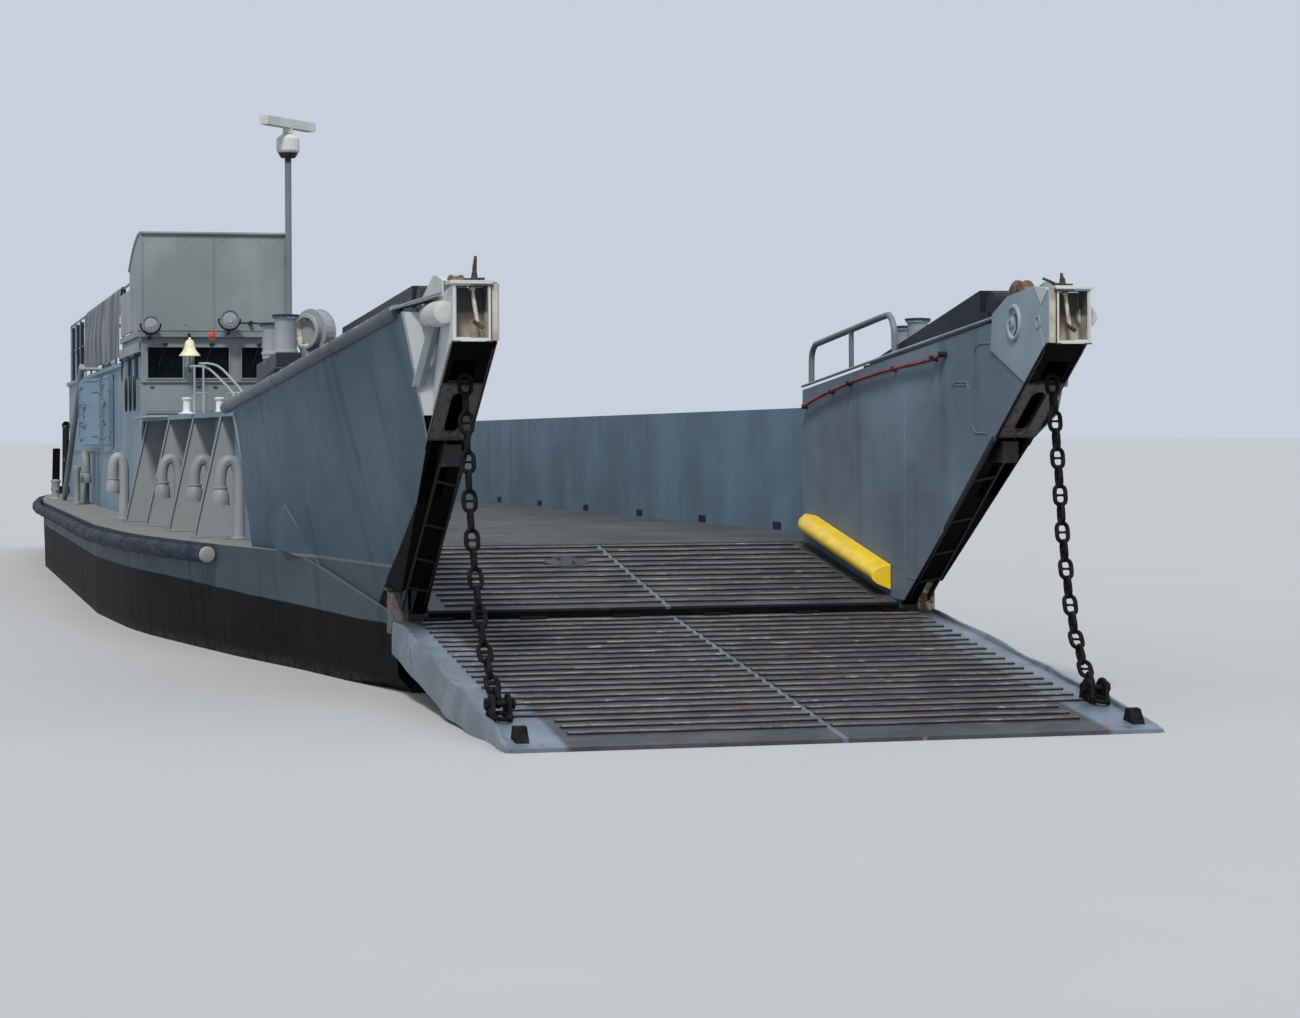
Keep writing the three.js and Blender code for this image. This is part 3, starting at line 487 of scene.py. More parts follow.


# The wings: dark flared plating, its outboard faces darkened towards the foot as painted shade; pale worn
# arms; hollows whose upper part is painted dark as the shadow of the lid; and painted black shade on the
# faces under the rake and in the trough
def wingExtra(paint, colour, roughness):
    along, aside, up = paint.along, paint.aside, paint.up
    # Outboard flared faces are multiplied darker, more towards their foot: painted shade
    flare = (paint.ny * paint.y).rise(0.1, 0.4) * along.rise(2.55, 2.5)
    shade = paint.mix(up.rise(0.9, -0.2), (0.44, 0.56, 0.58), (0.30, 0.42, 0.46))
    colour = paint.mix(flare, colour, shade, "MULTIPLY")
    below = up.rise(0.0, -0.012) * flare
    colour = paint.mix(below * 0.7, colour, (0.05, 0.075, 0.09))
    edgeLine = below * up.rise(-0.035, -0.028)
    colour = paint.mix(edgeLine * 0.8, colour, (0.15, 0.165, 0.17))
    patches = paint.noise(8, 5, 0.6)
    arm = along.rise(2.57, 2.61) * aside.rise(2.44, 2.46)
    colour = paint.mix(arm * 0.9, colour, paint.mix(patches, (0.42, 0.45, 0.47), (0.56, 0.58, 0.58)))
    box = along.rise(3.3, 3.33) * aside.rise(2.305, 2.315) * aside.rise(2.572, 2.562)
    back = along.rise(3.0, 3.02) * along.rise(3.46, 3.44)
    hollow = (box * paint.nx.rise(0.6, 0.4)).orMore(back * paint.nx.rise(0.5, 0.9))
    cream = paint.mix(patches.rise(0.35, 0.65), (0.24, 0.215, 0.17), (0.44, 0.42, 0.36))
    # The upper part of each hollow is painted dark as the shadow cast by its lid, over the cream lining
    # below
    colour = paint.mix(hollow, colour, paint.mix(up.rise(2.02, 2.06), cream, (0.10, 0.10, 0.096)))
    edge = aside.rise(2.308, 2.303) * paint.nx.rise(0.5, 0.8)
    colour = paint.mix(edge * along.rise(3.44, 3.46), colour, cream)
    # The trough and the faces that look down and forward under the rake are painted near black as shade,
    # with a few rust flecks
    trough = aside.rise(2.334, 2.339) * aside.rise(2.536, 2.531)
    trough = trough * along.rise(3.29, 3.27) * up.rise(2.0, 1.95)
    under = ((paint.nx - paint.nz).rise(1.0, 1.2) * paint.nz.rise(-0.25, -0.4)).orMore(trough)
    blackShade = paint.mix(paint.noise(12, 5, 0.7), (0.0, 0.0, 0.0), (0.003, 0.003, 0.0035))
    blackShade = paint.mix(paint.noise(5, 5, 0.6).rise(0.58, 0.7) * 0.4, blackShade, (0.010, 0.005, 0.004))
    return bottomOf(paint, paint.mix(under, colour, blackShade), roughness + under * 0.2)


# Sheets beside the well that face the bow are a paler, warmer grey
def wallExtra(paint, colour, roughness):
    facing = paint.aside.rise(3.0, 3.08) * paint.nx.rise(0.5, 0.8) * paint.along.rise(-14.8, -14.6)
    warm = paint.mix(paint.noise(7, 5, 0.65), (0.20, 0.215, 0.215), (0.30, 0.305, 0.295))
    return paint.mix(facing * 0.8, colour, warm), roughness


# The radar's pedestal is white over a dark bracket
def pedestalExtra(paint, colour, roughness):
    bracket = paint.up.rise(4.9, 4.92)
    head = paint.up.rise(5.04, 5.06)
    return paint.mix(head, paint.mix(bracket, colour, (0.014, 0.015, 0.018)), (0.50, 0.51, 0.49)), roughness


hullPaint = boatPaint("hull_paint", (0.047, 0.070, 0.084), hullExtra, runs=0.6, rust=0.9, specular=0.05)
wingPaint = boatPaint("wing_paint", (0.146, 0.188, 0.24), wingExtra, runs=0.4, dents=1.2, rust=0.35,
                      specular=0.07)
wallPaint = boatPaint("wall_paint", (0.121, 0.187, 0.247), wallExtra, runs=0.3, rust=0.25, specular=0.25)
housePaint = boatPaint("house_paint", (0.155, 0.182, 0.188), runs=0.25, rust=0.15, dents=0.35,
                       across=(3, 9))
bulwarkPaint = boatPaint("bulwark_paint", (0.185, 0.212, 0.218), runs=0.25, rust=0.15, dents=0.35)
ventGrey = boatPaint("vent_grey", (0.20, 0.22, 0.228), patches=0.2, runs=0.3, rust=0.3, dustTop=0.2)
postBlack = boatPaint("post_black", (0.012, 0.013, 0.016), patches=0.3, runs=0.2, rust=0.2, specular=0.15)
palePaint = boatPaint("pale_paint", (0.46, 0.475, 0.455), runs=0.5, rust=0.9, dustTop=0.1)
coverPaint = boatPaint("cover_paint", (0.012, 0.017, 0.026), patches=0.3, runs=0.2, rust=0.1, dustTop=0.07,
                       specular=0.18)
mastPaint = boatPaint("mast_paint", (0.13, 0.15, 0.165), runs=0.3, rust=0.3)
pedestalPaint = boatPaint("pedestal_paint", (0.13, 0.15, 0.165), pedestalExtra, runs=0.3, rust=0.3)
bottomPaint = boatPaint("bottom_paint", (0.02, 0.022, 0.025), bottomOf, runs=0.3, rust=0.4, specular=0.16)


def deckMaterial():
    paint = Paint("deck_paint")
    grit = paint.noise(160, 3, 0.7)
    patches = paint.noise(1.6, 5, 0.6)
    colour = paint.mix(patches.rise(0.3, 0.7), (0.021, 0.023, 0.026), (0.055, 0.057, 0.060))
    scuffs = paint.noise(1, 5, 0.65, stretch=(1.2, 11, 1)).rise(0.55, 0.72)
    colour = paint.mix(scuffs * 0.35, colour, (0.11, 0.108, 0.10))
    colour = paint.mix(paint.noise(9, 5, 0.7).rise(0.6, 0.68) * 0.6, colour, rustBrown)
    return paint.finish(colour, 0.72 + (grit - 0.5) * 0.3, [(patches, 0.01, 0.4), (grit, 0.002, 0.5)])


def glassMaterial():
    paint = Paint("pane_glass")
    smear = paint.noise(9, 4, 0.6)
    colour = paint.mix(smear.rise(0.4, 0.7), (0.002, 0.003, 0.004), (0.006, 0.007, 0.008))
    return paint.finish(colour, 0.08 + smear.rise(0.5, 0.8) * 0.14, [(smear, 0.0006, 0.2)], specular=0.06)


def curbMaterial():
    paint = Paint("curb_yellow")
    worn = paint.noise(11, 5, 0.65)
    colour = paint.mix(worn.rise(0.35, 0.75), (0.66, 0.43, 0.008), (0.78, 0.58, 0.02))
    scraped = paint.noise(1, 5, 0.7, stretch=(3, 14, 14)).rise(0.66, 0.72)
    colour = paint.mix(scraped * 0.6, colour, (0.2, 0.14, 0.04))
    # Faces that look downward are darker in patches, as painted shade
    low = paint.noise(5, 4).rise(0.4, 0.7) * paint.nz.rise(-0.1, -0.6)
    colour = paint.mix(low * 0.6, colour, (0.08, 0.06, 0.02))
    return paint.finish(colour, 0.45 + scraped * 0.3, [(worn, 0.002, 0.4)], coat=0.1)


def chainMaterial():
    paint = Paint("chain_iron")
    worn = paint.noise(34, 5, 0.65)
    colour = paint.mix(worn.rise(0.35, 0.7), (0.002, 0.002, 0.003), (0.011, 0.011, 0.012))
    rusty = paint.noise(13, 5, 0.7).rise(0.56, 0.68)
    colour = paint.mix(rusty * 0.3, colour, rustDark)
    return paint.finish(colour, 0.72 + rusty * 0.2, [(worn, 0.002, 0.5)], specular=0.1)


def rubberMaterial():
    paint = Paint("fender_rubber")
    scuffs = paint.noise(1, 5, 0.65, stretch=(3, 20, 20))
    colour = paint.mix(scuffs.rise(0.35, 0.72), (0.008, 0.012, 0.022), (0.03, 0.042, 0.062))
    dusty = paint.nz.rise(0.3, 0.95) * paint.noise(8, 4).rise(0.4, 0.75)
    colour = paint.mix(dusty * 0.3, colour, (0.10, 0.10, 0.098))
    return paint.finish(colour, 0.66, [(scuffs, 0.004, 0.6), (paint.noise(70, 3), 0.001, 0.4)],
                        specular=0.12)


def bronzeMaterial():
    paint = Paint("propeller_bronze")
    worn = paint.noise(18, 5, 0.6)
    colour = paint.mix(worn.rise(0.4, 0.65), (0.42, 0.27, 0.10), (0.60, 0.43, 0.19))
    colour = paint.mix(paint.noise(6, 4).rise(0.55, 0.7) * 0.5, colour, (0.12, 0.19, 0.14))
    return paint.finish(colour, 0.32 + worn * 0.2, [(worn, 0.001, 0.4)], metallic=0.85)


deckPaint = deckMaterial()
paneGlass = glassMaterial()
curbYellow = curbMaterial()
chainIron = chainMaterial()
fenderRubber = rubberMaterial()
propellerBronze = bronzeMaterial()
print("materials made")

# Every solid is in wall paint, except these
nodeMaterials = {
    "hull": hullPaint, "bow_wing_starboard": wingPaint, "bow_wing_port": wingPaint,
    "bow_slope_tread": deckPaint, "bow_ramp": deckPaint, "well_deck_plate": deckPaint,
    "ramp_chain_starboard": chainIron, "ramp_chain_port": chainIron,
    "wheel_curb_starboard": curbYellow, "wheel_curb_port": curbYellow,
    "wing_cover_starboard": coverPaint, "wing_cover_port": coverPaint,
    "fender_starboard": fenderRubber, "fender_port": fenderRubber, "blower": ventGrey,
    "pilothouse_front": housePaint, "bridge_bulwark": bulwarkPaint, "bridge_deck": housePaint,
    "pilothouse_glass_front": paneGlass, "pilothouse_glass_starboard": paneGlass,
    "pilothouse_glass_port": paneGlass, "radar_mast": pedestalPaint, "radar_scanner": palePaint,
    "winch_drum": chainIron, "stern_anchor": chainIron,
    "nozzle_starboard": bottomPaint, "nozzle_port": bottomPaint,
    "rudder_starboard": bottomPaint, "rudder_port": bottomPaint,
    "propeller_starboard": propellerBronze, "propeller_port": propellerBronze,
}
for name in nodes:
    nodes[name].data.materials.clear()
    nodes[name].data.materials.append(nodeMaterials.get(name, wallPaint))


# Stage, lights and the photograph's camera
def makeStage():
    half = 3000
    data = bpy.data.meshes.new("stage_floor")
    data.from_pydata([(-half, -half, waterline), (half, -half, waterline), (half, half, waterline),
                      (-half, half, waterline)], [], [(0, 1, 2, 3)])
    paint = Paint("stage_floor")
    colour = paint.mix(paint.noise(0.8, 2), (0.37, 0.375, 0.38), (0.40, 0.405, 0.41))
    data.materials.append(paint.finish(colour, 0.8))
    looseObject("stage_floor", data)


def makeLights():
    world = bpy.data.worlds.new("soft_sky")
    bpy.context.scene.world = world
    world.use_nodes = True
    sky = world.node_tree.nodes["Background"]
    sky.inputs["Color"].default_value = (0.80, 0.88, 1.0, 1)
    sky.inputs["Strength"].default_value = 0.72
    for name, energy, spread, azimuth, elevation, colour in [
        ("key_sun", 3.1, 9, -22, 50, (1.0, 0.95, 0.88)),
        ("fill_sun", 0.5, 60, 70, 35, (0.9, 0.95, 1.0)),
    ]:
        light = bpy.data.lights.new(name, "SUN")
        light.energy = energy
        light.angle = math.radians(spread)
        light.color = colour
        a, e = math.radians(azimuth), math.radians(elevation)
        towards = Vector((math.cos(a) * math.cos(e), math.sin(a) * math.cos(e), math.sin(e)))
        looseObject(name, light).rotation_euler = towards.to_track_quat("Z", "Y").to_euler()


def makeCamera():
    view = {"place": (20.89, -3.28, 1.7325), "turn": 14.3, "roll": -0.275, "lens": 80.3, "shiftY": -0.0531}
    camera = looseObject("camera", bpy.data.cameras.new("camera"))
    camera.data.lens = view["lens"]
    camera.data.shift_y = view["shiftY"]
    camera.data.clip_end = 6000
    turn = math.radians(view["turn"])
    forward = Vector((-math.cos(turn), math.sin(turn), 0))
    camera.location = view["place"]
    camera.rotation_euler = (forward.to_track_quat("-Z", "Y").to_matrix().to_4x4()
                             @ Matrix.Rotation(math.radians(view["roll"]), 4, "Z")).to_euler()
    bpy.context.scene.camera = camera


makeStage()
makeLights()
makeCamera()
bpy.context.scene.view_settings.view_transform = "Standard"
print("stage, lights and camera set")


# Ramp: its plating with bent side skirts, wavy tread bars and the lugs that take the chains
def plateMaterial():
    paint = Paint("ramp_plate")
    grit = paint.noise(120, 3, 0.7)
    patches = paint.noise(3, 5, 0.6)
    dark = paint.mix(patches.rise(0.3, 0.7), (0.020, 0.022, 0.027), (0.055, 0.057, 0.063))
    blue = paint.mix(patches.rise(0.35, 0.7), (0.09, 0.115, 0.15), (0.15, 0.185, 0.24))
    scraped = paint.noise(1, 5, 0.65, stretch=(9, 2, 9)).rise(0.5, 0.66)
    blue = paint.mix(scraped * 0.55, blue, (0.09, 0.10, 0.12))
    middle = paint.aside.rise(0.026, 0.020) * 0.7
    margin = (paint.aside.rise(2.04, 2.10) * paint.along.rise(0.15, 0.9)).orMore(middle)
    steep = paint.nz.rise(0.8, 0.6) * paint.aside.rise(2.3, 2.36)
    # Faces that look forward, at the step between slope and ramp, are painted near black as shade
    front = paint.nx.rise(0.4, 0.7) * paint.along.rise(3, 2)
    colour = paint.mix(front, dark, (0.004, 0.004, 0.005))
    colour = paint.mix(margin.orMore(steep), colour, blue)
    rust = paint.noise(10, 5, 0.7).rise(0.58, 0.66) * 0.8
    colour = paint.mix(rust, colour, paint.mix(patches, rustDark, rustBrown))
    chalk = paint.noise(1, 5, 0.75, stretch=(40, 7, 7)).rise(0.60, 0.68) * 0.5 * (1 - front)
    colour = paint.mix(chalk, colour, (0.25, 0.24, 0.22))
    colour = paint.mix(paint.nz.rise(-0.2, -0.6), colour, (0.012, 0.013, 0.015))
    return paint.finish(colour, 0.55 + (grit - 0.5) * 0.3 - margin * 0.12,
                        [(paint.noise(4, 2), 0.012, 0.5), (grit, 0.001, 0.4)])


def barMaterial():
    paint = Paint("tread_bars")
    along = paint.noise(1, 5, 0.7, stretch=(14, 5, 14))
    # The sides of the bars are near black as painted shade, with rust flecks; their worn tops are lighter
    side = paint.mix(along.rise(0.35, 0.65), (0.003, 0.003, 0.004), (0.010, 0.009, 0.009))
    side = paint.mix(paint.noise(12, 5, 0.7).rise(0.56, 0.64) * 0.6, side, rustDark)
    worn = paint.mix(along.rise(0.35, 0.66), (0.040, 0.044, 0.054), (0.165, 0.16, 0.152))
    worn = paint.mix(paint.noise(7, 5, 0.7).rise(0.54, 0.63) * 0.85, worn, (0.10, 0.038, 0.02))
    scratched = paint.noise(1, 4, 0.7, stretch=(30, 9, 30)).rise(0.58, 0.66) * 0.7
    worn = paint.mix(scratched, worn, (0.42, 0.40, 0.37))
    top = paint.nz.rise(0.35, 0.8)
    return paint.finish(paint.mix(top, side, worn), 0.62 - top * 0.14, [(along, 0.002, 0.5)], metallic=0.25)


rampPlatePaint = plateMaterial()
barSteel = barMaterial()

rampSizes = {
    "hinge": (0.1, 0, -0.554), "tilt": 6.9, "length": 5.0, "half": 2.5, "top": 0.05, "chainLine": 2.36,
    "bars": 19, "toeBars": 3, "firstBar": 0.13, "pitch": 0.212, "barHalf": 2.28, "toeHalf": 1.98,
    "slopeRun": 2.8, "slopeDrop": 0.454,
    "slopeBars": 12, "slopeFirst": 0.1, "slopePitch": 0.23, "slopeHalf": 1.99,
    "gap": 0.022, "barHeight": 0.02, "barWidth": 0.045, "wave": 0.05, "lift": 0.007,
}
slopeRate = rampSizes["slopeDrop"] / rampSizes["slopeRun"]
rampPlace = (Matrix.Translation(rampSizes["hinge"])
             @ Matrix.Rotation(math.radians(rampSizes["tilt"]), 4, "Y"))
slopePlace = (Matrix.Translation((-rampSizes["slopeRun"], 0, 0))
              @ Matrix.Rotation(math.atan2(rampSizes["slopeDrop"], rampSizes["slopeRun"]), 4, "Y"))


# Rows of bars to both sides of the middle, each bent a little by use
def treadBars(name, count, first, pitch, half, base, place, body, seedNumber):
    width, height, edge = rampSizes["barWidth"], rampSizes["barHeight"], 0.006
    steps = 24
    section = [(0, -0.012), (width, -0.012), (width, height - edge), (width - edge, height), (edge, height),
               (0, height - edge)]
    bar = Shape().loft([[(x, between(rampSizes["gap"], half, i / steps), z) for x, z in section]
                        for i in range(steps + 1)]).seed("bar")
    tree = Tree(name, {"Bar": bar, "Count": count, "Pitch": pitch, "Wave": rampSizes["wave"],
                       "Lift": rampSizes["lift"], "Seed": seedNumber}, barSteel)
    shape = tree.shape("Bar")
    step = tree.node("ShaderNodeCombineXYZ", {}, {"X": tree.size("Pitch")})
    row = tree.node("GeometryNodeMeshLine", {},
                    {"Count": tree.size("Count"), "Start Location": (first, 0, base), "Offset": step})
    twist = tree.turn({"Z": tree.random(-0.004, 0.004, tree.size("Seed"))})
    flipped = tree.node("GeometryNodeTransform", {}, {"Geometry": shape, "Scale": (1, -1, 1)})
    outward = tree.node("GeometryNodeFlipFaces", {}, {"Mesh": flipped})
    rows = tree.node("GeometryNodeJoinGeometry", {}, [tree.copies(row, shape, twist)])
    tree.group.links.new(tree.copies(row, outward, twist), rows.node.inputs[0])
    real = tree.node("GeometryNodeRealizeInstances", {}, [rows])
    where = tree.node("GeometryNodeInputPosition", {}, {})
    bend = tree.node("ShaderNodeTexNoise", {"noise_dimensions": "3D"},
                     {"Vector": where, "Scale": 1.5, "Detail": 2.0}, 1)
    centred = tree.node("ShaderNodeVectorMath", {"operation": "SUBTRACT"}, [bend, (0.5, 0.5, 0.5)])
    spread = tree.node("ShaderNodeCombineXYZ", {}, {"X": tree.size("Wave"), "Z": tree.size("Lift")})
    offset = tree.node("ShaderNodeVectorMath", {"operation": "MULTIPLY"}, [centred, spread])
    bent = tree.node("GeometryNodeSetPosition", {}, {"Geometry": real, "Offset": offset})
    data = tree.grow(bent, pointCarrier([(0, 0, 0)]), bar, place)
    finishPiece(name, data, barSteel, smoothTo=30, body=body)


def dent(share, side):
    return (0.022 * math.sin(7.3 * share + side) * math.sin(19 * share + 2 * side)
            + 0.012 * math.sin(31 * share + 3 * side))


def rampPlating():
    top, length, half = rampSizes["top"], rampSizes["length"], rampSizes["half"]
    taperFrom = 2.6
    steps = 40
    shape = Shape()
    shape.plate([(-0.02, top), (-0.02, top - 0.27), (0.5, top - 0.3), (taperFrom, top - 0.3),
                 (length - 0.03, top - 0.09), (length, top - 0.06), (length, top)], "y",
                (-half + 0.035, half - 0.035))
    for side in (-1, 1):
        rings = []
        for i in range(steps + 1):
            share = i / steps
            x = between(-0.01, length - 0.02, share)
            low = between(top - 0.29, top - 0.08, max(0, (x - taperFrom) / (length - taperFrom)))
            rim = 0.03 * min(1, (1 - share) * 9, share * 9 + 0.3) + 0.008 * math.sin(23 * share + side)
            out = half + dent(share, side) * 0.6
            lip = half - 0.012 + dent(share, side + 2) * 0.9
            section = [(half - 0.05, low + 0.02), (out, low), (out + 0.004, between(low, top, 0.5)),
                       (lip, top + rim), (lip - 0.03, top + rim), (half - 0.055, top - 0.01)]
            rings.append([(x, side * y, z) for y, z in section])
        shape.loft(rings)
    shape.place(rampPlace).make("ramp_plating", rampPlatePaint, "ramp_steel", 0.006, body="ramp",
                                node="bow_ramp")


# Lug plates with their pin, the last link lying flat beyond it, and a wedge at the corner
def rampLugs():
    top, pin = rampSizes["top"], 4
    shape = Shape()
    outline = [(3.86, top - 0.01), (3.9, top + 0.13)]
    outline += [(pin + 0.09 * math.cos(a), top + 0.11 + 0.075 * math.sin(a))
                for a in (math.radians(160 - 28 * k) for k in range(6))]
    outline += [(4.14, top - 0.01)]
    for side in (-1, 1):
        y = side * rampSizes["chainLine"]
        for offset in (-0.062, 0.062):
            shape.plate(outline, "y", (y + offset * side - 0.015, y + offset * side + 0.015))
        shape.rod((pin, y - 0.105, top + 0.11), (pin, y + 0.105, top + 0.11), 0.026)
        for end in (-1, 1):
            shape.turned([(0.045, end * 0.115), (0.045, end * 0.09), (0.02, end * 0.09)],
                         (pin, y, top + 0.11), (0, 1, 0), 6)
        shape.hoop(lambda c, s: (4.09 + 0.085 * c + (0.03 if c > 0 else -0.03), y + 0.05 * s, top + 0.035),
                   0.018, 18)
        shape.plate([(4.66, top - 0.005), (4.70, top + 0.1), (4.76, top + 0.1), (4.86, top - 0.005)], "y",
                    (y - 0.05, y + 0.05))
    shape.place(rampPlace).make("ramp_chain_lugs", chainIron, "chain_black", 0.004, body="ramp")


def rampCheeks():
    shape = Shape()
    for y in (-2.1, -1.26, -0.42, 0.42, 1.26, 2.1):
        for offset in (-0.19, 0.17):
            shape.plate([(-0.075, -0.05), (-0.04, 0.03), (0.12, 0.035), (0.12, -0.1), (-0.05, -0.1)], "y",
                        (y + offset - 0.02, y + offset + 0.02))
    shape.place(rampPlace).make("ramp_hinge_cheeks", rampPlatePaint, "ramp_steel", 0.004, body="ramp")


def bowSlope():
    length = math.hypot(rampSizes["slopeRun"], rampSizes["slopeDrop"])
    shape = Shape().block((0.02, length - 0.01), (-2.17, 2.17), (0.0012, 0.03))
    shape.place(slopePlace).make("bow_slope_plating", rampPlatePaint, "ramp_steel", 0.004,
                                 node="bow_slope_tread")
    treadBars("bow_slope_bars", rampSizes["slopeBars"], rampSizes["slopeFirst"], rampSizes["slopePitch"],
              rampSizes["slopeHalf"], 0.03, slopePlace, "hull", 5)
    lid = Shape()
    centre = (0.88, -0.5, 0)
    lid.turned([(0.215, 0.025), (0.215, 0.05), (0.20, 0.056), (0.188, 0.056), (0.184, 0.05), (0.02, 0.052)],
               centre, sides=40)
    for angle in (0.5, 0.5 + math.pi):
        x, y = centre[0] + 0.11 * math.cos(angle), centre[1] + 0.11 * math.sin(angle)
        lid.pipe(smoothPath([(x - 0.05, y, 0.046), (x - 0.04, y, 0.064), (x + 0.04, y, 0.064),
                             (x + 0.05, y, 0.046)],
                            4), 0.008, 8)
    lid.place(slopePlace).make("slope_manhole_lid", deckPaint, "deck_grey")


rampPlating()
rampLugs()
rampCheeks()
treadBars("ramp_tread_bars", rampSizes["bars"], rampSizes["firstBar"], rampSizes["pitch"],
          rampSizes["barHalf"], rampSizes["top"], rampPlace, "ramp", 3)
firstToeBar = rampSizes["firstBar"] + rampSizes["bars"] * rampSizes["pitch"]
treadBars("ramp_toe_bars", rampSizes["toeBars"], firstToeBar, rampSizes["pitch"],
          rampSizes["toeHalf"], rampSizes["top"], rampPlace, "ramp", 4)
bowSlope()
print("ramp and slope made")


# Stud-link chains from each tip's trough to the ramp's corner lugs
chainRoute = [(3.1, 2.42, 1.5), (3.24, 2.42, 0.7), (3.34, 2.41, 0.22), (3.58, 2.39, -0.41),
              (3.88, 2.37, -0.76),
              (3.99, 2.36, -0.84)]
chainSizes = {"pitch": 0.142, "halfLength": 0.079, "halfWidth": 0.046, "wire": 0.0185}


def chainLink():
    wide, wire = chainSizes["halfWidth"], chainSizes["wire"]
    path = []
    turns = 7
    for end in (1, -1):
        for k in range(turns):
            angle = math.radians(-90 + 180 * k / (turns - 1)) + (0 if end == 1 else math.pi)
            path.append((end * (chainSizes["halfLength"] - wide) + wide * math.cos(angle),
                         wide * math.sin(angle), 0))
    reach = wide - wire * 0.6
    stud = [(wire * 0.95, -reach), (wire * 0.55, -reach * 0.55), (wire * 0.5, 0),
            (wire * 0.55, reach * 0.55),
            (wire * 0.95, reach)]
    return Shape().pipe(path, wire, 9, closed=True).turned(stud, (0, 0, 0), (0, 1, 0), 8).seed("chain_link")


# Every second link is turned by a quarter
def rampChain(side, sideName):
    path = smoothPath([(x, side * y, z) for x, y, z in chainRoute], 12)
    total = sum((b - a).length for a, b in zip(path, path[1:]))
    link = chainLink()
    tree = Tree("chain_" + sideName, {"Link": link, "Count": round(total / chainSizes["pitch"])}, chainIron)
    number = tree.node("GeometryNodeInputIndex", {}, {})
    odd = tree.node("ShaderNodeMath", {"operation": "FLOORED_MODULO"}, [number, 2.0])
    quarter = tree.node("ShaderNodeMath", {"operation": "MULTIPLY"}, [odd, math.pi / 2])
    placed = tree.alongCurve("Count", tree.shape("Link"))
    crossed = tree.node("GeometryNodeRotateInstances", {},
                        {"Instances": placed, "Rotation": tree.turn({"X": quarter})})
    made = finishPiece("chain_" + sideName, tree.grow(crossed, curveCarrier(path), link), chainIron,
                       smoothTo=50, node="ramp_chain_" + sideName)
    made.parent = None
    toModel @ path[0]
    toModel @ path[-1]
    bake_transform(made)


for side, sideName in sideNames.items():
    rampChain(side, sideName)
print("chains made")


# Bow wings: framed tips with their hanging pins, the slot frames under the rake, gussets and rails
wingSizes = {
    "rakeFoot": -0.46, "rakeAngle": 33.6, "inner": 2.3, "outer": 2.58, "tipX": 3.5, "tipBottom": 1.825,
    "tipTop": 2.265, "pipeAft": (-4.9, 3.418, 1.417), "pipeFore": (2.35, 2.836, 2.085), "pipeRadius": 0.062,
    "slotLow": 2.34, "slotHigh": 2.96,
}
rakeSlope = math.tan(math.radians(wingSizes["rakeAngle"]))


def rakeAt(x, proud=0.0):
    return wingSizes["rakeFoot"] + x * rakeSlope - proud


def wingTopAt(x):
    return between(1.615, 2.105, (x + 3) / 5.6)


# The well side of a wing, which turns outboard a little towards its fore end
def innerWallAt(x):
    return 2.2 + 0.05 * min(1, max(0, (x - 0.06) / 2.29))


# Wing pieces are drawn on the port side
def finishWing(shape, side, name, material, slot, bevel=0.0, smoothTo=32):
    if side < 0:
        shape.mirror()
    shape.make(name + sideNames[side], material, slot, bevel, smoothTo)


def rustyMaterial(name, base, share, brownShare=1.0):
    paint = Paint(name)
    patches = paint.noise(22, 6, 0.7)
    runs = paint.noise(1, 5, 0.6, stretch=(34, 34, 5))
    colour = paint.mix(patches.rise(0.3, 0.7), scaled(base, 0.75), base)
    rust = (patches.rise(share + 0.06, share) * 0.85).orMore(runs.rise(0.58, 0.66) * 0.8) * brownShare
    brown = paint.mix(runs.rise(0.35, 0.65), (0.15, 0.055, 0.016), (0.035, 0.016, 0.010))
    return paint.finish(paint.mix(rust, colour, brown), 0.6 + rust * 0.25, [(patches, 0.003, 0.5)])


# Dark sides with a scuffed, rusty top
def pipeExtra(paint, colour, roughness):
    streaks = paint.noise(1, 5, 0.7, stretch=(7, 30, 30))
    top = (paint.nz.rise(0.1, 0.75) * streaks.rise(0.44, 0.60)).orLess(1)
    scuffed = paint.mix(streaks.rise(0.5, 0.6), (0.10, 0.05, 0.028), (0.27, 0.27, 0.25))
    return paint.mix(top * 0.85, colour, scuffed), roughness + top * 0.1


rustyWhite = rustyMaterial("rusty_white_paint", (0.50, 0.47, 0.38), 0.40)
rustyCream = rustyMaterial("rusty_cream_paint", (0.42, 0.36, 0.22), 0.50)
rustIron = rustyMaterial("rusted_iron", (0.018, 0.015, 0.014), 0.47, 0.8)
rustLine = rustyMaterial("rust_line", (0.030, 0.024, 0.021), 0.46, 0.7)
greyFrame = rustyMaterial("slot_frame_grey", (0.085, 0.088, 0.088), 0.42, 0.9)
sheaveBrown = rustyMaterial("sheave_brown", (0.15, 0.115, 0.075), 0.5)
# Near black with a little rust, for parts under the rake and at the wings' feet that sit in shade: painted
# shade
rakeShadeBlack = rustyMaterial("rake_shade_black", (0.006, 0.006, 0.007), 0.36, 0.35)
pipePaint = boatPaint("scuffed_pipe", (0.05, 0.07, 0.085), pipeExtra, runs=0.2, rust=0.8, patches=0.3,
                      dustTop=0.1)
edgePaint = boatPaint("worn_edge_paint", (0.23, 0.265, 0.29), runs=0.2, rust=0.8, patches=0.2)
cheekPaint = boatPaint("cheek_paint", (0.228, 0.295, 0.34), runs=0.2, rust=0.25, dents=0.4)
ventPaint = boatPaint("wing_vent_grey", (0.26, 0.285, 0.30), runs=0.45, rust=0.3, patches=0.12)


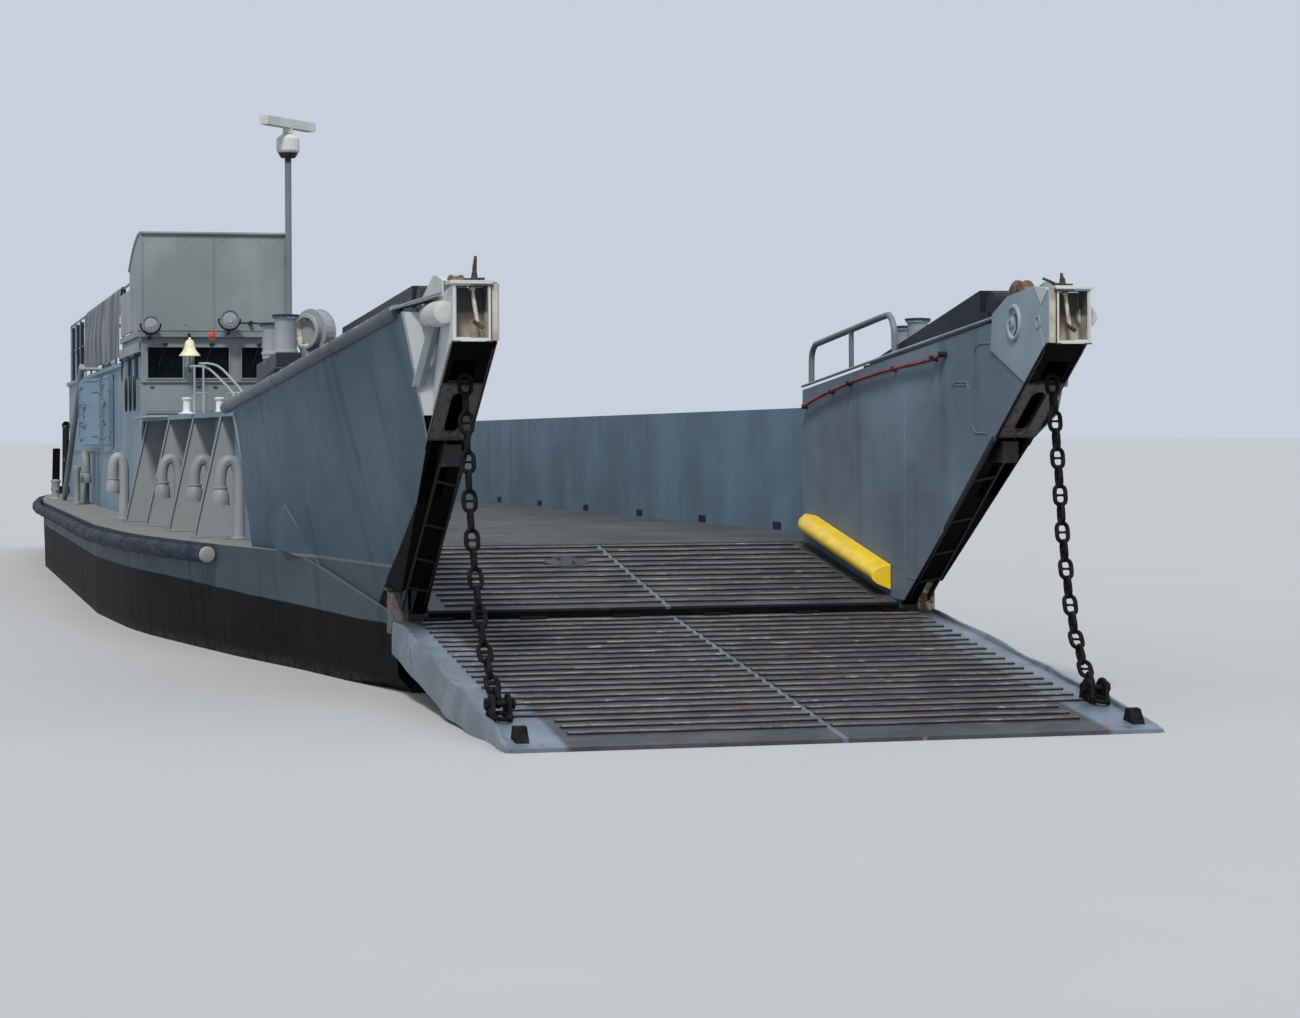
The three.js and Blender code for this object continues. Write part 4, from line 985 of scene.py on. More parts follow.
# White frame round the hollow of a tip, its overhanging lid and rusty corners
def tipFrame(side):
    inner, outer = wingSizes["inner"], wingSizes["outer"]
    bottom, top = wingSizes["tipBottom"], wingSizes["tipTop"]
    x0, x1 = wingSizes["tipX"] - 0.03, wingSizes["tipX"] + 0.01
    shape = Shape().blocks(
        ((x0, x1), (inner - 0.008, outer + 0.008), (bottom - 0.008, bottom + 0.018)),
        ((x0, x1), (inner - 0.008, inner + 0.014), (bottom + 0.012, top)),
        ((x0, x1), (outer - 0.014, outer + 0.008), (bottom + 0.012, top)),
        ((x0 - 0.17, x1 + 0.018), (inner - 0.02, outer + 0.03), (top - 0.012, top + 0.016)))
    finishWing(shape, side, "wing_tip_frame_", palePaint, "tip_white", 0.003)
    rust = Shape().blocks(
        ((x0 + 0.02, x1 + 0.004), (inner - 0.012, inner - 0.004), (bottom, top - 0.02)),
        ((x0 + 0.01, x1 + 0.006), (inner - 0.014, inner + 0.03), (bottom - 0.012, bottom - 0.002)),
        ((x0 + 0.01, x1 + 0.006), (outer - 0.05, outer + 0.012), (bottom - 0.012, bottom - 0.002)),
        ((x0 - 0.02, x1 + 0.014), (inner - 0.022, inner + 0.012), (top - 0.03, top - 0.006)))
    finishWing(rust, side, "wing_tip_rust_", rustLine, "tip_white", 0.002)


# The pin that hangs in the hollow, and the spike with its collar on top
def tipPin(side):
    x, top = wingSizes["tipX"] - 0.08, wingSizes["tipTop"]
    y, lean, height = (2.425, 0.04, 1.0) if side < 0 else (2.40, -0.035, 0.6)
    pin = Shape()
    pin.pipe(smoothPath([(x, y, top - 0.02), (x + 0.005, y - lean * 0.35, 2.13),
                         (x + 0.01, y - lean, 1.965)], 4),
             0.017, 12)
    pin.turned([(0.027, 0), (0.03, 0.016), (0.018, 0.03)], (x, y, top - 0.055), sides=14)
    finishWing(pin, side, "wing_tip_pin_", rustyWhite, "tip_white")
    dark = Shape()
    end = Vector((x + 0.01, y - lean, 1.955))
    dark.rod(end + Vector((0, -side * 0.028, 0.02)), end + Vector((0.02, side * 0.045, -0.035)), 0.0165, 12)
    dark.turned([(0.021, 0), (0.021, 0.012)], end + Vector((0, 0, -0.002)), sides=12)
    dark.turned([(0.034, 0), (0.036, 0.02), (0.024, 0.035), (0.021, 0.07)], (x, y - 0.02, top + 0.012),
                sides=16)
    dark.pipe([(x, y - 0.02, top + 0.03), (x, y - 0.022, top + 0.12 * height),
               (x, y - 0.03, top + 0.205 * height)],
              [0.018, 0.017, 0.011], 12)
    dark.block((x - 0.03, x + 0.03), (y - 0.095, y - 0.055), (top + 0.01, top + 0.04))
    dark.block((x - 0.03, x + 0.03), (y + 0.02, y + 0.06), (top + 0.01, top + 0.035))
    if side > 0:
        dark.pipe([(x - 0.02, y - 0.05, top + 0.02), (x - 0.04, y - 0.11, top + 0.055),
                   (x - 0.05, y - 0.17, top + 0.08)], [0.014, 0.012, 0.010], 10)
    finishWing(dark, side, "wing_tip_rod_", rustIron, "chain_black", 0.003)


# A flat strip from a to b along the rake, standing a little proud of it
def rakeStrip(shape, y0, y1, a, b, proud):
    shape.loft([[(x, y0, rakeAt(x, proud)), (x, y1, rakeAt(x, proud)), (x - 0.02, y1, rakeAt(x, -0.03)),
                 (x - 0.02, y0, rakeAt(x, -0.03))] for x in (a, b)])


# Grey frame with rusty edges round the long slot on the underside of the rake
def slotFrame(side):
    low, high = wingSizes["slotLow"], wingSizes["slotHigh"]
    inner, outer = wingSizes["inner"] - 0.05, wingSizes["outer"]
    slot = (2.345, 2.475)
    shape = Shape()
    rakeStrip(shape, inner, slot[0], low, high, 0.010)
    rakeStrip(shape, slot[1], outer, low, high, 0.010)
    rakeStrip(shape, slot[0] - 0.005, slot[1] + 0.005, high - 0.09, high, 0.008)
    rakeStrip(shape, slot[0] - 0.005, slot[1] + 0.005, low, low + 0.04, 0.008)
    # rounded corners of the slot
    for y, out in ((slot[0], 1), (slot[1], -1)):
        for x, along in ((high - 0.09, -1), (low + 0.04, 1)):
            corner = [(x, y), (x, y + out * 0.05), (x + along * 0.02, y + out * 0.022),
                      (x + along * 0.06, y)]
            shape.loft([[(px, py, rakeAt(px, proud)) for px, py in corner] for proud in (0.007, -0.02)])
    finishWing(shape, side, "rake_slot_frame_", greyFrame, "haze_grey", 0.002)
    bars = Shape()
    for x, radius in ((low - 0.012, 0.013), (high + 0.01, 0.010)):
        bars.rod((x, inner, rakeAt(x, 0.004)), (x, outer, rakeAt(x, 0.004)), radius, 8)
    for y0, y1 in ((inner - 0.004, inner + 0.006), (outer - 0.006, outer + 0.004)):
        rakeStrip(bars, y0, y1, low, high + 0.4, 0.013)
    for y in (2.343, 2.471):
        rakeStrip(bars, y, y + 0.006, low + 0.03, high - 0.08, 0.012)
    finishWing(bars, side, "rake_slot_rust_", rustLine, "chain_black")


# The rake below the slot: ribs, rungs and lips in near-black painted shade, against the painted black shade
# of the rake's face
def rakeRibs(side):
    shape = Shape()
    for x in (0.35, 0.75, 1.2, 1.75):
        shape.rod((x, 2.24, rakeAt(x, 0.004)), (x + 0.06, 2.42, rakeAt(x + 0.06, 0.004)), 0.013, 8)
    for y in (2.222, 2.415):
        rakeStrip(shape, y, y + 0.02, 0.1, 2.28, 0.018)
    shape.block((1.98, 2.3), (2.30, 2.44), (rakeAt(2.0) - 0.01, rakeAt(2.3) - 0.03))
    finishWing(shape, side, "rake_ribs_", rakeShadeBlack, "bottom_black", 0.003)


# Outboard of the arm: sloping bracket, round boss, strut and the worn edges of the plates
def tipGussets(side):
    y = wingSizes["outer"]
    shape = Shape()
    shape.loft([[(2.26, y - 0.02, 2.168), (3.05, y - 0.02, 2.202), (3.05, y - 0.02, 2.228),
                 (2.26, y - 0.02, 2.194)],
                [(2.22, 2.885, 2.088), (2.44, 2.885, 2.098), (2.44, 2.885, 2.118), (2.22, 2.885, 2.108)]])
    shape.turned([(0.098, -0.35), (0.098, -0.15), (0.088, -0.02), (0.086, 0.004), (0.078, 0.01),
                  (0.03, 0.011)],
                 (3.35, 2.62, 2.042), (1, 0, 0), 36)
    shape.plate([(2.13, 2.06), (2.13, 2.21), (2.64, 2.362), (2.8, 2.354), (3.06, 2.305), (3.06, 2.18),
                 (2.6, 2.16)],
                "y", (y - 0.006, y + 0.008))
    finishWing(shape, side, "wing_tip_gussets_", palePaint, "tip_white", 0.004, 40)
    strut = Shape().loft([[(x - 0.055, y0, z), (x + 0.02, y0 + 0.055, z), (x + 0.04, y0, z),
                           (x, y0 - 0.05, z)]
                          for x, y0, z in ((2.93, 2.62, 1.99), (2.60, 2.70, 1.49))])
    finishWing(strut, side, "wing_tip_strut_", edgePaint, "tip_white", 0.006)
    edges = Shape()
    edges.pipe([(2.34, 2.585, 1.095), (2.6, 2.665, 1.267), (2.605, 2.825, 2.082)], 0.008, 8)
    edges.pipe([(3.05, y - 0.02, 2.222), (2.44, 2.885, 2.112)], 0.0085, 8)
    edges.pipe([(2.36, y + 0.004, rakeAt(2.36)), (3.44, y + 0.004, rakeAt(3.44))], 0.006, 8)
    finishWing(edges, side, "wing_outer_edges_", edgePaint, "haze_grey", 0, 60)


# Brown chain wheel that stands up between the cheeks
def tipSheave(side):
    radius = 0.252
    half = [(radius * 0.3, 0.055), (radius * 0.9, 0.055), (radius, 0.048), (radius, 0.034),
            (radius * 0.96, 0.012)]
    shape = Shape().turned([(r, -d) for r, d in half] + half[::-1], (2.536, 2.385, 2.125), (0, 1, 0), 40)
    finishWing(shape, side, "wing_sheave_", sheaveBrown, "chain_black", 0, 40)


# Inner side: the cheek plate with its ring, a dark disc and arc in the ring as painted shade of its hole and
# gap, and the pale corner
def cheekFittings(side):
    tip, wall = wingSizes["tipX"] - 0.002, 2.229
    plate = Shape().plate([(2.2, 1.806), (2.965, rakeAt(2.965) + 0.006), (3.43, rakeAt(3.43) + 0.006),
                           (tip, wingSizes["tipBottom"]), (tip, 2.25), (3.46, 2.27), (3.19, 2.294),
                           (2.59, 2.238),
                           (2.25, 2.108)], "y", (wall, wall + 0.015))
    finishWing(plate, side, "wing_cheek_plate_", cheekPaint, "haze_grey", 0.005)
    ring = Shape()
    ring.hoop(lambda c, s: (2.75 + 0.128 * c, wall + 0.004, 2.012 + 0.134 * s), 0.024, 36, 12)
    ring.turned([(0.05, 0), (0.048, 0.01), (0.03, 0.016)], (2.70, wall, 2.012), (0, -1, 0), 20)
    ring.hoop(lambda c, s: (3.275 + 0.045 * c, wall - 0.002, 1.998 + 0.045 * s), 0.006, 20)
    ring.pipe([(3.335, wall, 2.14), (3.33, wall, 2.05)], 0.0035, 6)
    ring.pipe([(3.32, wall, 1.945), (3.40, wall, 1.80)], 0.0035, 6)
    finishWing(ring, side, "wing_cheek_ring_", cheekPaint, "haze_grey", 0, 60)
    ringGapShade = Shape()
    ringGapShade.turned([(0.013, 0), (0.012, 0.004)], (2.695, wall - 0.015, 2.018), (0, -1, 0), 14)
    ringGapShade.pipe([(2.755 + 0.07 * math.cos(a), wall - 0.003, 2.0 + 0.085 * math.sin(a))
               for a in (math.radians(70 - 150 * k / 14) for k in range(15))], 0.009, 8)
    finishWing(ringGapShade, side, "wing_cheek_gap_", rustIron, "chain_black", 0, 60)
    corner = Shape().plate([(3.2, 2.29), (3.46, 2.268), (3.49, 2.25), (3.345, 2.135)], "y", (2.222, 2.231))
    finishWing(corner, side, "wing_cheek_corner_", palePaint, "tip_white", 0.002)


# Inner side: weld scars and seams, the rim bar, and the worn edge of the rake
def innerSeams(side):
    seams = Shape()
    for route in ([(1.80, 1.767), (1.842, 1.846), (1.927, 1.868), (2.195, 1.866)],
                  [(1.294, 1.493), (1.317, 1.542), (1.406, 1.553), (1.647, 1.548), (1.669, 1.486)],
                  [(1.339, 1.528), (1.625, 1.524)], [(1.756, 1.177), (1.82, 1.112), (2.075, 1.106)],
                  [(-1.35, -0.16), (0.36, -0.2)]):
        seams.pipe([(x, innerWallAt(x) - 0.001, z) for x, z in route], 0.0055, 8)
    for x in (-1.45, 0.1, 1.3):
        y = innerWallAt(x) + 0.001
        seams.pipe([(x, y, max(-0.4, rakeAt(x) + 0.1)), (x, y, wingTopAt(x) - 0.06)], 0.0035, 6)
    finishWing(seams, side, "wing_weld_seams_", wallPaint, "haze_grey", 0, 60)
    rim = Shape().pipe([(-3.0, 2.2, 1.602), (-2.8, 2.2, 1.618), (0, 2.2, 1.868), (1.2, 2.222, 1.978),
                        (2.26, 2.246, 2.078)], 0.014, 10)
    finishWing(rim, side, "wing_rim_bar_", edgePaint, "haze_grey", 0, 60)
    wear = Shape()
    wear.pipe([(x, innerWallAt(x) + 0.004, rakeAt(x) + 0.002) for x in (0.08, 0.8, 1.6, 2.3)], 0.007, 8)
    wear.pipe([(x, 2.234, rakeAt(x) + 0.004) for x in (2.3, 2.7, 3.1, 3.42)], 0.006, 8)
    finishWing(wear, side, "wing_rake_edge_", rustLine, "haze_grey", 0, 60)


# Pipe rail along the outboard edge, with rounded ends and weld beads
def pipeRail(side):
    aft, fore, radius = Vector(wingSizes["pipeAft"]), Vector(wingSizes["pipeFore"]), wingSizes["pipeRadius"]
    along = (fore - aft).normalized()
    ends = [(0.0, radius * 0.5), (0.012, radius * 0.86), (0.035, radius)]
    path = [aft - along * 0.03 + along * d for d, r in ends]
    path += [fore + along * (0.05 - d) for d, r in ends[::-1]]
    shape = Shape().pipe(path, [r for d, r in ends + ends[::-1]], 28)
    for share in (0.03, 0.36, 0.7, 0.955):
        spot = aft.lerp(fore, share)
        shape.pipe([spot - along * 0.006, spot + along * 0.006], radius + 0.004, 28)
    finishWing(shape, side, "wing_pipe_rail_", pipePaint, "haze_grey", 0, 40)


# The flange at the aft end of the outer plating, and the fairing plate over the place where the
# bulwark meets the wing's foot
def outerPlates(side):
    x, proud = -4.47, 0.04
    flange = Shape().loft([[(x - 0.05, y, z), (x + 0.05, y, z), (x + 0.05, y + proud, z),
                            (x - 0.05, y + proud, z)]
                           for y, z in ((3.115, 0.02), (3.225, 0.6), (3.355, 1.345))])
    finishWing(flange, side, "wing_aft_flange_", wallPaint, "haze_grey", 0.004)
    outer = [(-2.2, 2.832, -0.094), (-3.0, 3.057, 0.003), (-3.62, 3.076, 0.003), (-3.62, 3.13, 0.3),
             (-3.0, 3.06, 0.46)]
    fairing = Shape().loft([outer, [(x, y - 0.02, z) for x, y, z in outer]])
    finishWing(fairing, side, "wing_foot_fairing_", wingPaint, "haze_grey")


# Pale block with rust runs at the foot of each wing
def footBlock(side):
    shape = Shape().block((-0.16, 0.03), (2.352, 2.515), (-0.62, -0.245))
    finishWing(shape, side, "wing_foot_block_", rustyCream if side > 0 else greyFrame, "tip_white", 0.008)
    # Black blocks beside and over it, as painted shadow
    dark = Shape().blocks(((-0.2, 0.012), (2.172, 2.35), (-0.6, -0.4)),
                          ((-0.18, 0.045), (2.345, 2.545), (-0.245, -0.215)))
    finishWing(dark, side, "wing_foot_shadow_", rakeShadeBlack, "bottom_black", 0.004)


# Ventilators: bodies with a dark flange, standing on a base along the wing top
def wingVents(side):
    bodies = Shape()
    rims = Shape()
    for x, y, z in ((-2.16, 3.14, 2.26), (-2.72, 3.19, 2.205)):
        bodies.turned([(0.104, 1.86 - z), (0.104, -0.04), (0.118, -0.022)], (x, y, z), sides=32)
        bodies.turned([(0.114, 1.9 - z), (0.114, 1.925 - z), (0.1, 1.93 - z)], (x, y, z), sides=32)
        rims.turned([(0.112, -0.022), (0.130, -0.018), (0.130, -0.006), (0.124, 0.0), (0.05, 0.006)],
                    (x, y, z),
                    sides=36)
    finishWing(bodies, side, "wing_vents_", ventPaint, "house_grey", 0, 40)
    finishWing(rims, side, "wing_vent_rims_", coverPaint, "cover_blue", 0, 40)
    base = Shape().plate([(-3.51, 1.62), (-1.94, 1.765), (-1.94, 1.9), (-3.51, 1.825)], "y", (3.02, 3.26))
    finishWing(base, side, "wing_vent_base_", coverPaint, "cover_blue", 0.008)


for side in sideNames:
    for fit in (tipFrame, tipPin, slotFrame, rakeRibs, tipGussets, tipSheave, cheekFittings,
                innerSeams, pipeRail, outerPlates, footBlock, wingVents):
        fit(side)


# Red tube with its dark joints and clips along the inside of the port wing
def redTube():
    paint = Paint("red_tube")
    worn = paint.noise(30, 4)
    joints = paint.noise(1, 2, stretch=(9, 1, 1)).rise(0.50, 0.54)
    colour = paint.mix(worn, (0.16, 0.006, 0.008), (0.28, 0.014, 0.014))
    colour = paint.mix(joints * 0.75, colour, (0.025, 0.006, 0.008))
    material = paint.finish(colour, 0.45, [(worn, 0.001, 0.3)])
    route = [(-2.83, 2.155, 1.395), (-2.2, 2.16, 1.50), (-1.2, 2.165, 1.62), (-0.1, 2.165, 1.705),
             (0.62, 2.175, 1.745), (0.95, 2.18, 1.772), (1.14, 2.195, 1.80)]
    Shape().pipe(smoothPath(route), 0.017).make("port_wing_red_tube", material, "tip_white", smoothTo=50)
    clips = Shape()
    for x, z in ((-2.83, 1.395), (-1.95, 1.53), (-1.4, 1.597), (-0.1, 1.705), (0.95, 1.772)):
        clips.block((x - 0.012, x + 0.012), (2.138, innerWallAt(x) + 0.005), (z - 0.024, z + 0.024))
    clips.rod((1.15, 2.15, 1.802), (1.15, 2.225, 1.802), 0.026)
    clips.make("port_tube_clips", coverPaint, "cover_blue", 0.003)


# Wheel curbs with a rounded back and an undercut, aft on the deck and fore on the slope
def wheelCurbs():
    wall, aft = 2.194, -3.0
    section = [(0, 0.022), (0.13, 0.075), (0.175, 0.11), (0.19, 0.145), (0.18, 0.182), (0.145, 0.215),
               (0.085, 0.24), (0, 0.256)]
    for side, fore in ((-1, -1.62), (1, -0.27)):
        foreHeight = 0.06 - slopeRate * (rampSizes["slopeRun"] + fore)
        places = [(aft + 0.1, 0.06, 0.3), (aft + 0.2, 0.06, 0.6), (aft + 0.5, 0.045, 1),
                  (fore, foreHeight, 1)]
        shape = Shape().loft([[(x, side * (wall - out * share), z + up) for out, up in section]
                              for x, z, share in places])
        name = "wheel_curb_" + sideNames[side]
        shape.make(name + "_rounded", curbYellow, "curb_yellow", 0.006, 50, node=name)


# Blower: drum with a thick rim, and a cream, rusty inlet that looks forward and outboard
def blowerDetails():
    turn = math.radians(52)
    direction = Vector((math.cos(turn), -math.sin(turn), 0))
    centre = Vector((-2.55, -2.86, 2.115))
    casing = Shape()
    for distance in (-0.128, -0.006):
        casing.turned([(0.2, distance - 0.008), (0.216, distance - 0.008), (0.22, distance),
                       (0.216, distance + 0.008), (0.2, distance + 0.008)], centre, direction, 44)
    casing.turned([(0.166, -0.01), (0.168, 0.05), (0.172, 0.055), (0.172, 0.068), (0.166, 0.074),
                   (0.146, 0.074),
                   (0.144, -0.005)], centre, direction, 36)
    casing.make("blower_bands", ventGrey, "house_grey", 0, 40)
    inlet = Shape().turned([(0.002, -0.055), (0.13, -0.055), (0.1455, 0.072), (0.140, 0.074), (0.132, 0.03),
                            (0.115, -0.01), (0.06, -0.04), (0.002, -0.045)], centre, direction, 32)
    inlet.make("blower_inlet", rustyWhite, "tip_white", 0, 50)
    motor = Shape().turned([(0.09, 0.0), (0.09, 0.09), (0.075, 0.12), (0.03, 0.125)],
                           centre - direction * 0.13,
                           -direction, 28)
    motor.make("blower_motor", ventGrey, "house_grey", 0, 40)


# Bent tube handrail beside the port wing
def wingHandrail():
    y = 2.26
    bends = [(-2.88, wingTopAt(-2.88)), (-2.88, 1.8), (-2.86, 1.92), (-2.76, 2.005), (-2.6, 2.03),
             (-1.6, 2.122),
             (-0.62, 2.21), (-0.45, 2.2), (-0.35, 2.1), (-0.33, 1.98), (-0.33, wingTopAt(-0.33))]
    shape = Shape().pipe(smoothPath([(x, y, z) for x, z in bends], 6), 0.03, 16)
    shape.rod((-1.6, y, wingTopAt(-1.6)), (-1.6, y, 2.12), 0.025)
    shape.make("wing_handrail_port_rounded", mastPaint, "house_grey", 0, 50, node="wing_handrail_port")


redTube()
wheelCurbs()
blowerDetails()
wingHandrail()
print("wing fittings made")


# Pilothouse front: window frames, sill, panels with their latches, and wipers
houseSizes = {"front": -15.0, "outer": -3.5, "inner": -1.53, "sill": 1.94, "head": 2.37, "bulwark": 3.93}
windowPlaces = [(-3.42, -2.94), (-2.79, -2.31), (-2.14, -1.66)]


def frontFrames():
    outer, inner, low, high = (houseSizes[key] for key in ("outer", "inner", "sill", "head"))
    x0, x1, wide = houseSizes["front"] - 0.01, houseSizes["front"] + 0.018, 0.016
    shape = Shape()
    wipers = Shape()
    for y0, y1 in windowPlaces:
        shape.blocks(((x0, x1), (y0 - wide, y0 + 0.004), (low - wide, high + wide)),
                     ((x0, x1), (y1 - 0.004, y1 + wide), (low - wide, high + wide)),
                     ((x0, x1), (y0, y1), (low - wide, low + 0.005)),
                     ((x0, x1 + 0.01), (y0, y1), (high - 0.005, high + wide)))
        middle = (y0 + y1) / 2
        wipers.rod((x1 + 0.016, middle, 2.40), (x1 + 0.016, middle - 0.1, 2.1), 0.005, 6)
        wipers.block((x1 + 0.004, x1 + 0.024), (middle - 0.03, middle + 0.03), (2.39, 2.42))
    shape.blocks(((x0, x1 + 0.02), (outer - 0.01, inner + 0.01), (1.885, 1.905)),
                 ((x0, x1), (outer + 0.06, -2.2), (1.46, 1.475)),
                 ((x0, x1 - 0.012), (outer + 0.08, -2.62), (1.485, 1.86)),
                 ((x0, x1 - 0.012), (-2.6, -1.62), (1.485, 1.86)))
    shape.make("pilothouse_window_frames", housePaint, "house_grey", 0.003)
    latches = Shape()
    for y in (-3.36, -2.72, -2.5, -1.75):
        latches.block((x1 - 0.014, x1 + 0.004), (y - 0.03, y + 0.03), (1.816, 1.828))
        latches.rod((x1 - 0.01, y, 1.822), (x1 + 0.01, y, 1.822), 0.012, 8)
    latches.make("pilothouse_panel_latches", coverPaint, "cover_blue")
    wipers.make("pilothouse_wipers", postBlack, "cover_blue")


# Bridge front: cap rail, middle seam, brow over the windows and a few bolts
def bridgeTrim():
    front, outer, inner, top = (houseSizes[key] for key in ("front", "outer", "inner", "bulwark"))
    shape = Shape()
    shape.pipe([(front + 0.02, outer, top), (front + 0.02, inner, top)], 0.022, 10)
    for y in (outer, inner):
        shape.pipe(smoothPath([(front + 0.02, y, top), (front - 0.5, y, top), (front - 1.4, y, top - 0.15),
                               (front - 2.2, y, top - 0.4)], 4), 0.022, 10)
    shape.block((front - 0.002, front + 0.007), (-2.525, -2.5), (2.62, 3.9))
    for y in (outer + 0.012, inner - 0.012):
        shape.block((front - 0.05, front + 0.008), (y - 0.016, y + 0.016), (0.02, 3.9))
    shape.block((front - 0.02, front + 0.075), (outer - 0.06, inner + 0.06), (2.505, 2.532))
    shape.block((front - 0.04, front + 0.06), (outer - 0.055, inner + 0.055), (2.59, 2.606))
    shape.make("bridge_front_trim", housePaint, "house_grey", 0.004)
    spots = [(front + 0.003, y, z) for z in (2.68, 3.84) for y in (-3.4, -2.9, -2.4, -1.9, -1.62)]
    repeatOnPoints("bridge_front_bolts", spots, boltHead(0.011, 0.006), (1, 0, 0), housePaint)


def creamMaterial():
    paint = Paint("cream_bell")
    worn = paint.noise(16, 4)
    colour = paint.mix(worn.rise(0.35, 0.7), (0.56, 0.54, 0.38), (0.70, 0.68, 0.50))
    colour = paint.mix(paint.noise(30, 5, 0.7).rise(0.62, 0.7) * 0.4, colour, rustBrown)
    return paint.finish(colour, 0.55, [(worn, 0.001, 0.3)])


def lampMaterial(name, scale, dark, pale, bump, coat):
    paint = Paint(name)
    shade = paint.noise(scale, 2)
    return paint.finish(paint.mix(shade, dark, pale), 0.2, [(shade, *bump)], coat=coat)


creamBell = creamMaterial()
lensGlass = lampMaterial("lamp_lens", 70, (0.16, 0.175, 0.19), (0.30, 0.32, 0.34), (0.001, 0.3), 0.4)
redGlass = lampMaterial("red_lamp", 20, (0.42, 0.02, 0.015), (0.55, 0.035, 0.03), (0.0005, 0.2), 0.5)
whiteTube = boatPaint("white_tube", (0.62, 0.64, 0.64), patches=0.1, runs=0.3, dustTop=0.1)
railGrey = boatPaint("rail_grey", (0.28, 0.30, 0.31), patches=0.15, runs=0.3, dustTop=0.15)

bridgeFittings = {"x": -14.76, "bell": (-2.87, 2.24),
                  "lamps": ((-3.397, 2.675, 0.11), (-2.329, 2.746, 0.122)),
                  "redLamp": (-14.97, -2.545, 2.525)}


# Bell with its arm and clapper, and the yokes of the two searchlights
def bellAndBrackets():
    x, (y, z) = bridgeFittings["x"], bridgeFittings["bell"]
    bell = Shape()
    bell.turned([(0.136, 0.012), (0.144, 0), (0.144, 0.01), (0.117, 0.042), (0.084, 0.084), (0.069, 0.14),
                 (0.062, 0.185), (0.041, 0.217), (0.011, 0.226)], (x, y, z), sides=36)
    bell.turned([(0.018, 0.22), (0.022, 0.24), (0.011, 0.26)], (x, y, z), sides=12)
    bell.make("bridge_bell", creamBell, "tip_white", 0, 50)
    arm = Shape()
    arm.pipe(smoothPath([(-15.02, y, 2.46), (-14.9, y, 2.54), (x, y, 2.54), (x, y, 2.48)], 5), 0.014, 8)
    arm.rod((x, y, z), (x, y, 2.06), 0.006, 8)
    arm.turned([(0.008, -0.03), (0.018, -0.01), (0.014, 0.012)], (x, y, 2.045), sides=12)
    for y, z, radius in bridgeFittings["lamps"]:
        yoke = radius + 0.028
        arm.pipe([(x, y + yoke * math.cos(a), z + yoke * math.sin(a))
                  for a in (math.radians(180 + 180 * k / 14) for k in range(15))], 0.012, 8)
        arm.rod((x, y, z - yoke), (-15.02, y, z - radius - 0.1), 0.014)
        arm.rod((x, y - radius - 0.033, z), (x, y + radius + 0.033, z), 0.009)
    arm.rod((-15, -2.02, 2.70), (-14.88, -2.02, 2.70), 0.03)
    arm.rod((-14.9, -2.18, 2.70), (-14.9, -1.62, 2.69), 0.012)
    arm.make("bridge_lamp_brackets", postBlack, "house_grey", 0, 40)


def bridgeLamps():
    forward = (1, 0, 0)
    lamps = Shape()
    faces = Shape()
    for y, z, radius in bridgeFittings["lamps"]:
        centre = (bridgeFittings["x"], y, z)
        lamps.turned([(radius * 0.3, -0.14), (radius * 0.75, -0.11), (radius * 0.97, -0.04), (radius, 0.05),
                      (radius + 0.01, 0.052), (radius + 0.01, 0.08), (radius - 0.012, 0.082),
                      (radius - 0.016, 0.06)], centre, forward, 36)
        faces.turned([(radius - 0.016, 0.055), (radius - 0.02, 0.064), (radius * 0.5, 0.074),
                      (0.001, 0.079)],
                     centre, forward, 32)
        faces.turned([(radius * 0.45, 0.05), (radius * 0.45, 0.083), (radius * 0.38, 0.083)], centre,
                     forward, 24)
    lamps.make("bridge_searchlights", mastPaint, "house_grey", 0, 40)
    faces.make("searchlight_lenses", lensGlass, "window_glass", 0, 40)
    place = bridgeFittings["redLamp"]
    lamp = Shape().turned([(0.05, -0.02), (0.05, 0.03), (0.042, 0.048), (0.02, 0.058)], place, forward)
    lamp.make("bridge_red_lamp", redGlass, "tip_white", 0, 40)
    band = Shape().turned([(0.04, -0.025), (0.062, -0.025), (0.062, 0.0), (0.04, 0.0)], place, forward)
    band.make("bridge_lamp_band", whiteTube, "tip_white", 0, 40)


# Bent handrails at the head of the ladder, the platform under them, and the bitts on the ledge
def ledgeFittings():
    foot = 1.4
    rails = Shape()
    for route in ([(-14.2, -2.92, 2.08), (-14.2, -2.78, 2.085), (-14.0, -2.68, 2.04), (-13.6, -2.56, 1.88),
                   (-13.0, -2.46, 1.67), (-12.9, -2.45, 1.43)],
                  [(-14.0, -2.82, 2.115), (-14.0, -2.68, 2.115), (-13.8, -2.56, 2.06), (-13.2, -2.46, 1.88),
                   (-12.5, -2.4, 1.68), (-12.4, -2.39, 1.43)]):
        rails.pipe(smoothPath(route), 0.016)
    for x, y, z in ((-14.2, -2.86, 2.08), (-14.0, -2.76, 2.115)):
        rails.rod((x, y, z), (x, y, foot), 0.015)
    for x, y0, y1, bend in ((-14.2, -2.87, -2.67, 0.04), (-14.0, -2.45, -2.19, 0.05)):
        rails.pipe(smoothPath([(x, y0, foot), (x, y0, 1.68), (x, y0 + bend, 1.72), (x, y1 - bend, 1.72),
                               (x, y1, 1.68), (x, y1, foot)], 4), 0.012, 8)
    rails.make("ladder_handrails", railGrey, "tip_white", 0, 50)
    platform = Shape().block((-14.9, -12.2), (-3.62, -2.05), (1.382, 1.406))
    for y in (-2.95, -2.1):
        for x in (-14.4, -12.4):
            platform.rod((x, y, 0.03), (x, y, 1.385), 0.03)
    platform.make("ladder_platform", ventGrey, "haze_grey", 0.004)
    bitts = Shape()
    for y in (-3.36, -2.97):
        bitts.turned([(0.07, 0.0), (0.07, 0.012), (0.043, 0.026), (0.041, 0.145), (0.058, 0.165),
                      (0.062, 0.18),
                      (0.048, 0.19), (0.001, 0.193)], (-9.9, y, 1.41), sides=28)
        bitts.block((-10.0, -9.8), (y - 0.09, y + 0.09), (1.404, 1.416))
    bitts.make("ledge_bitts", whiteTube, "tip_white", 0, 40)


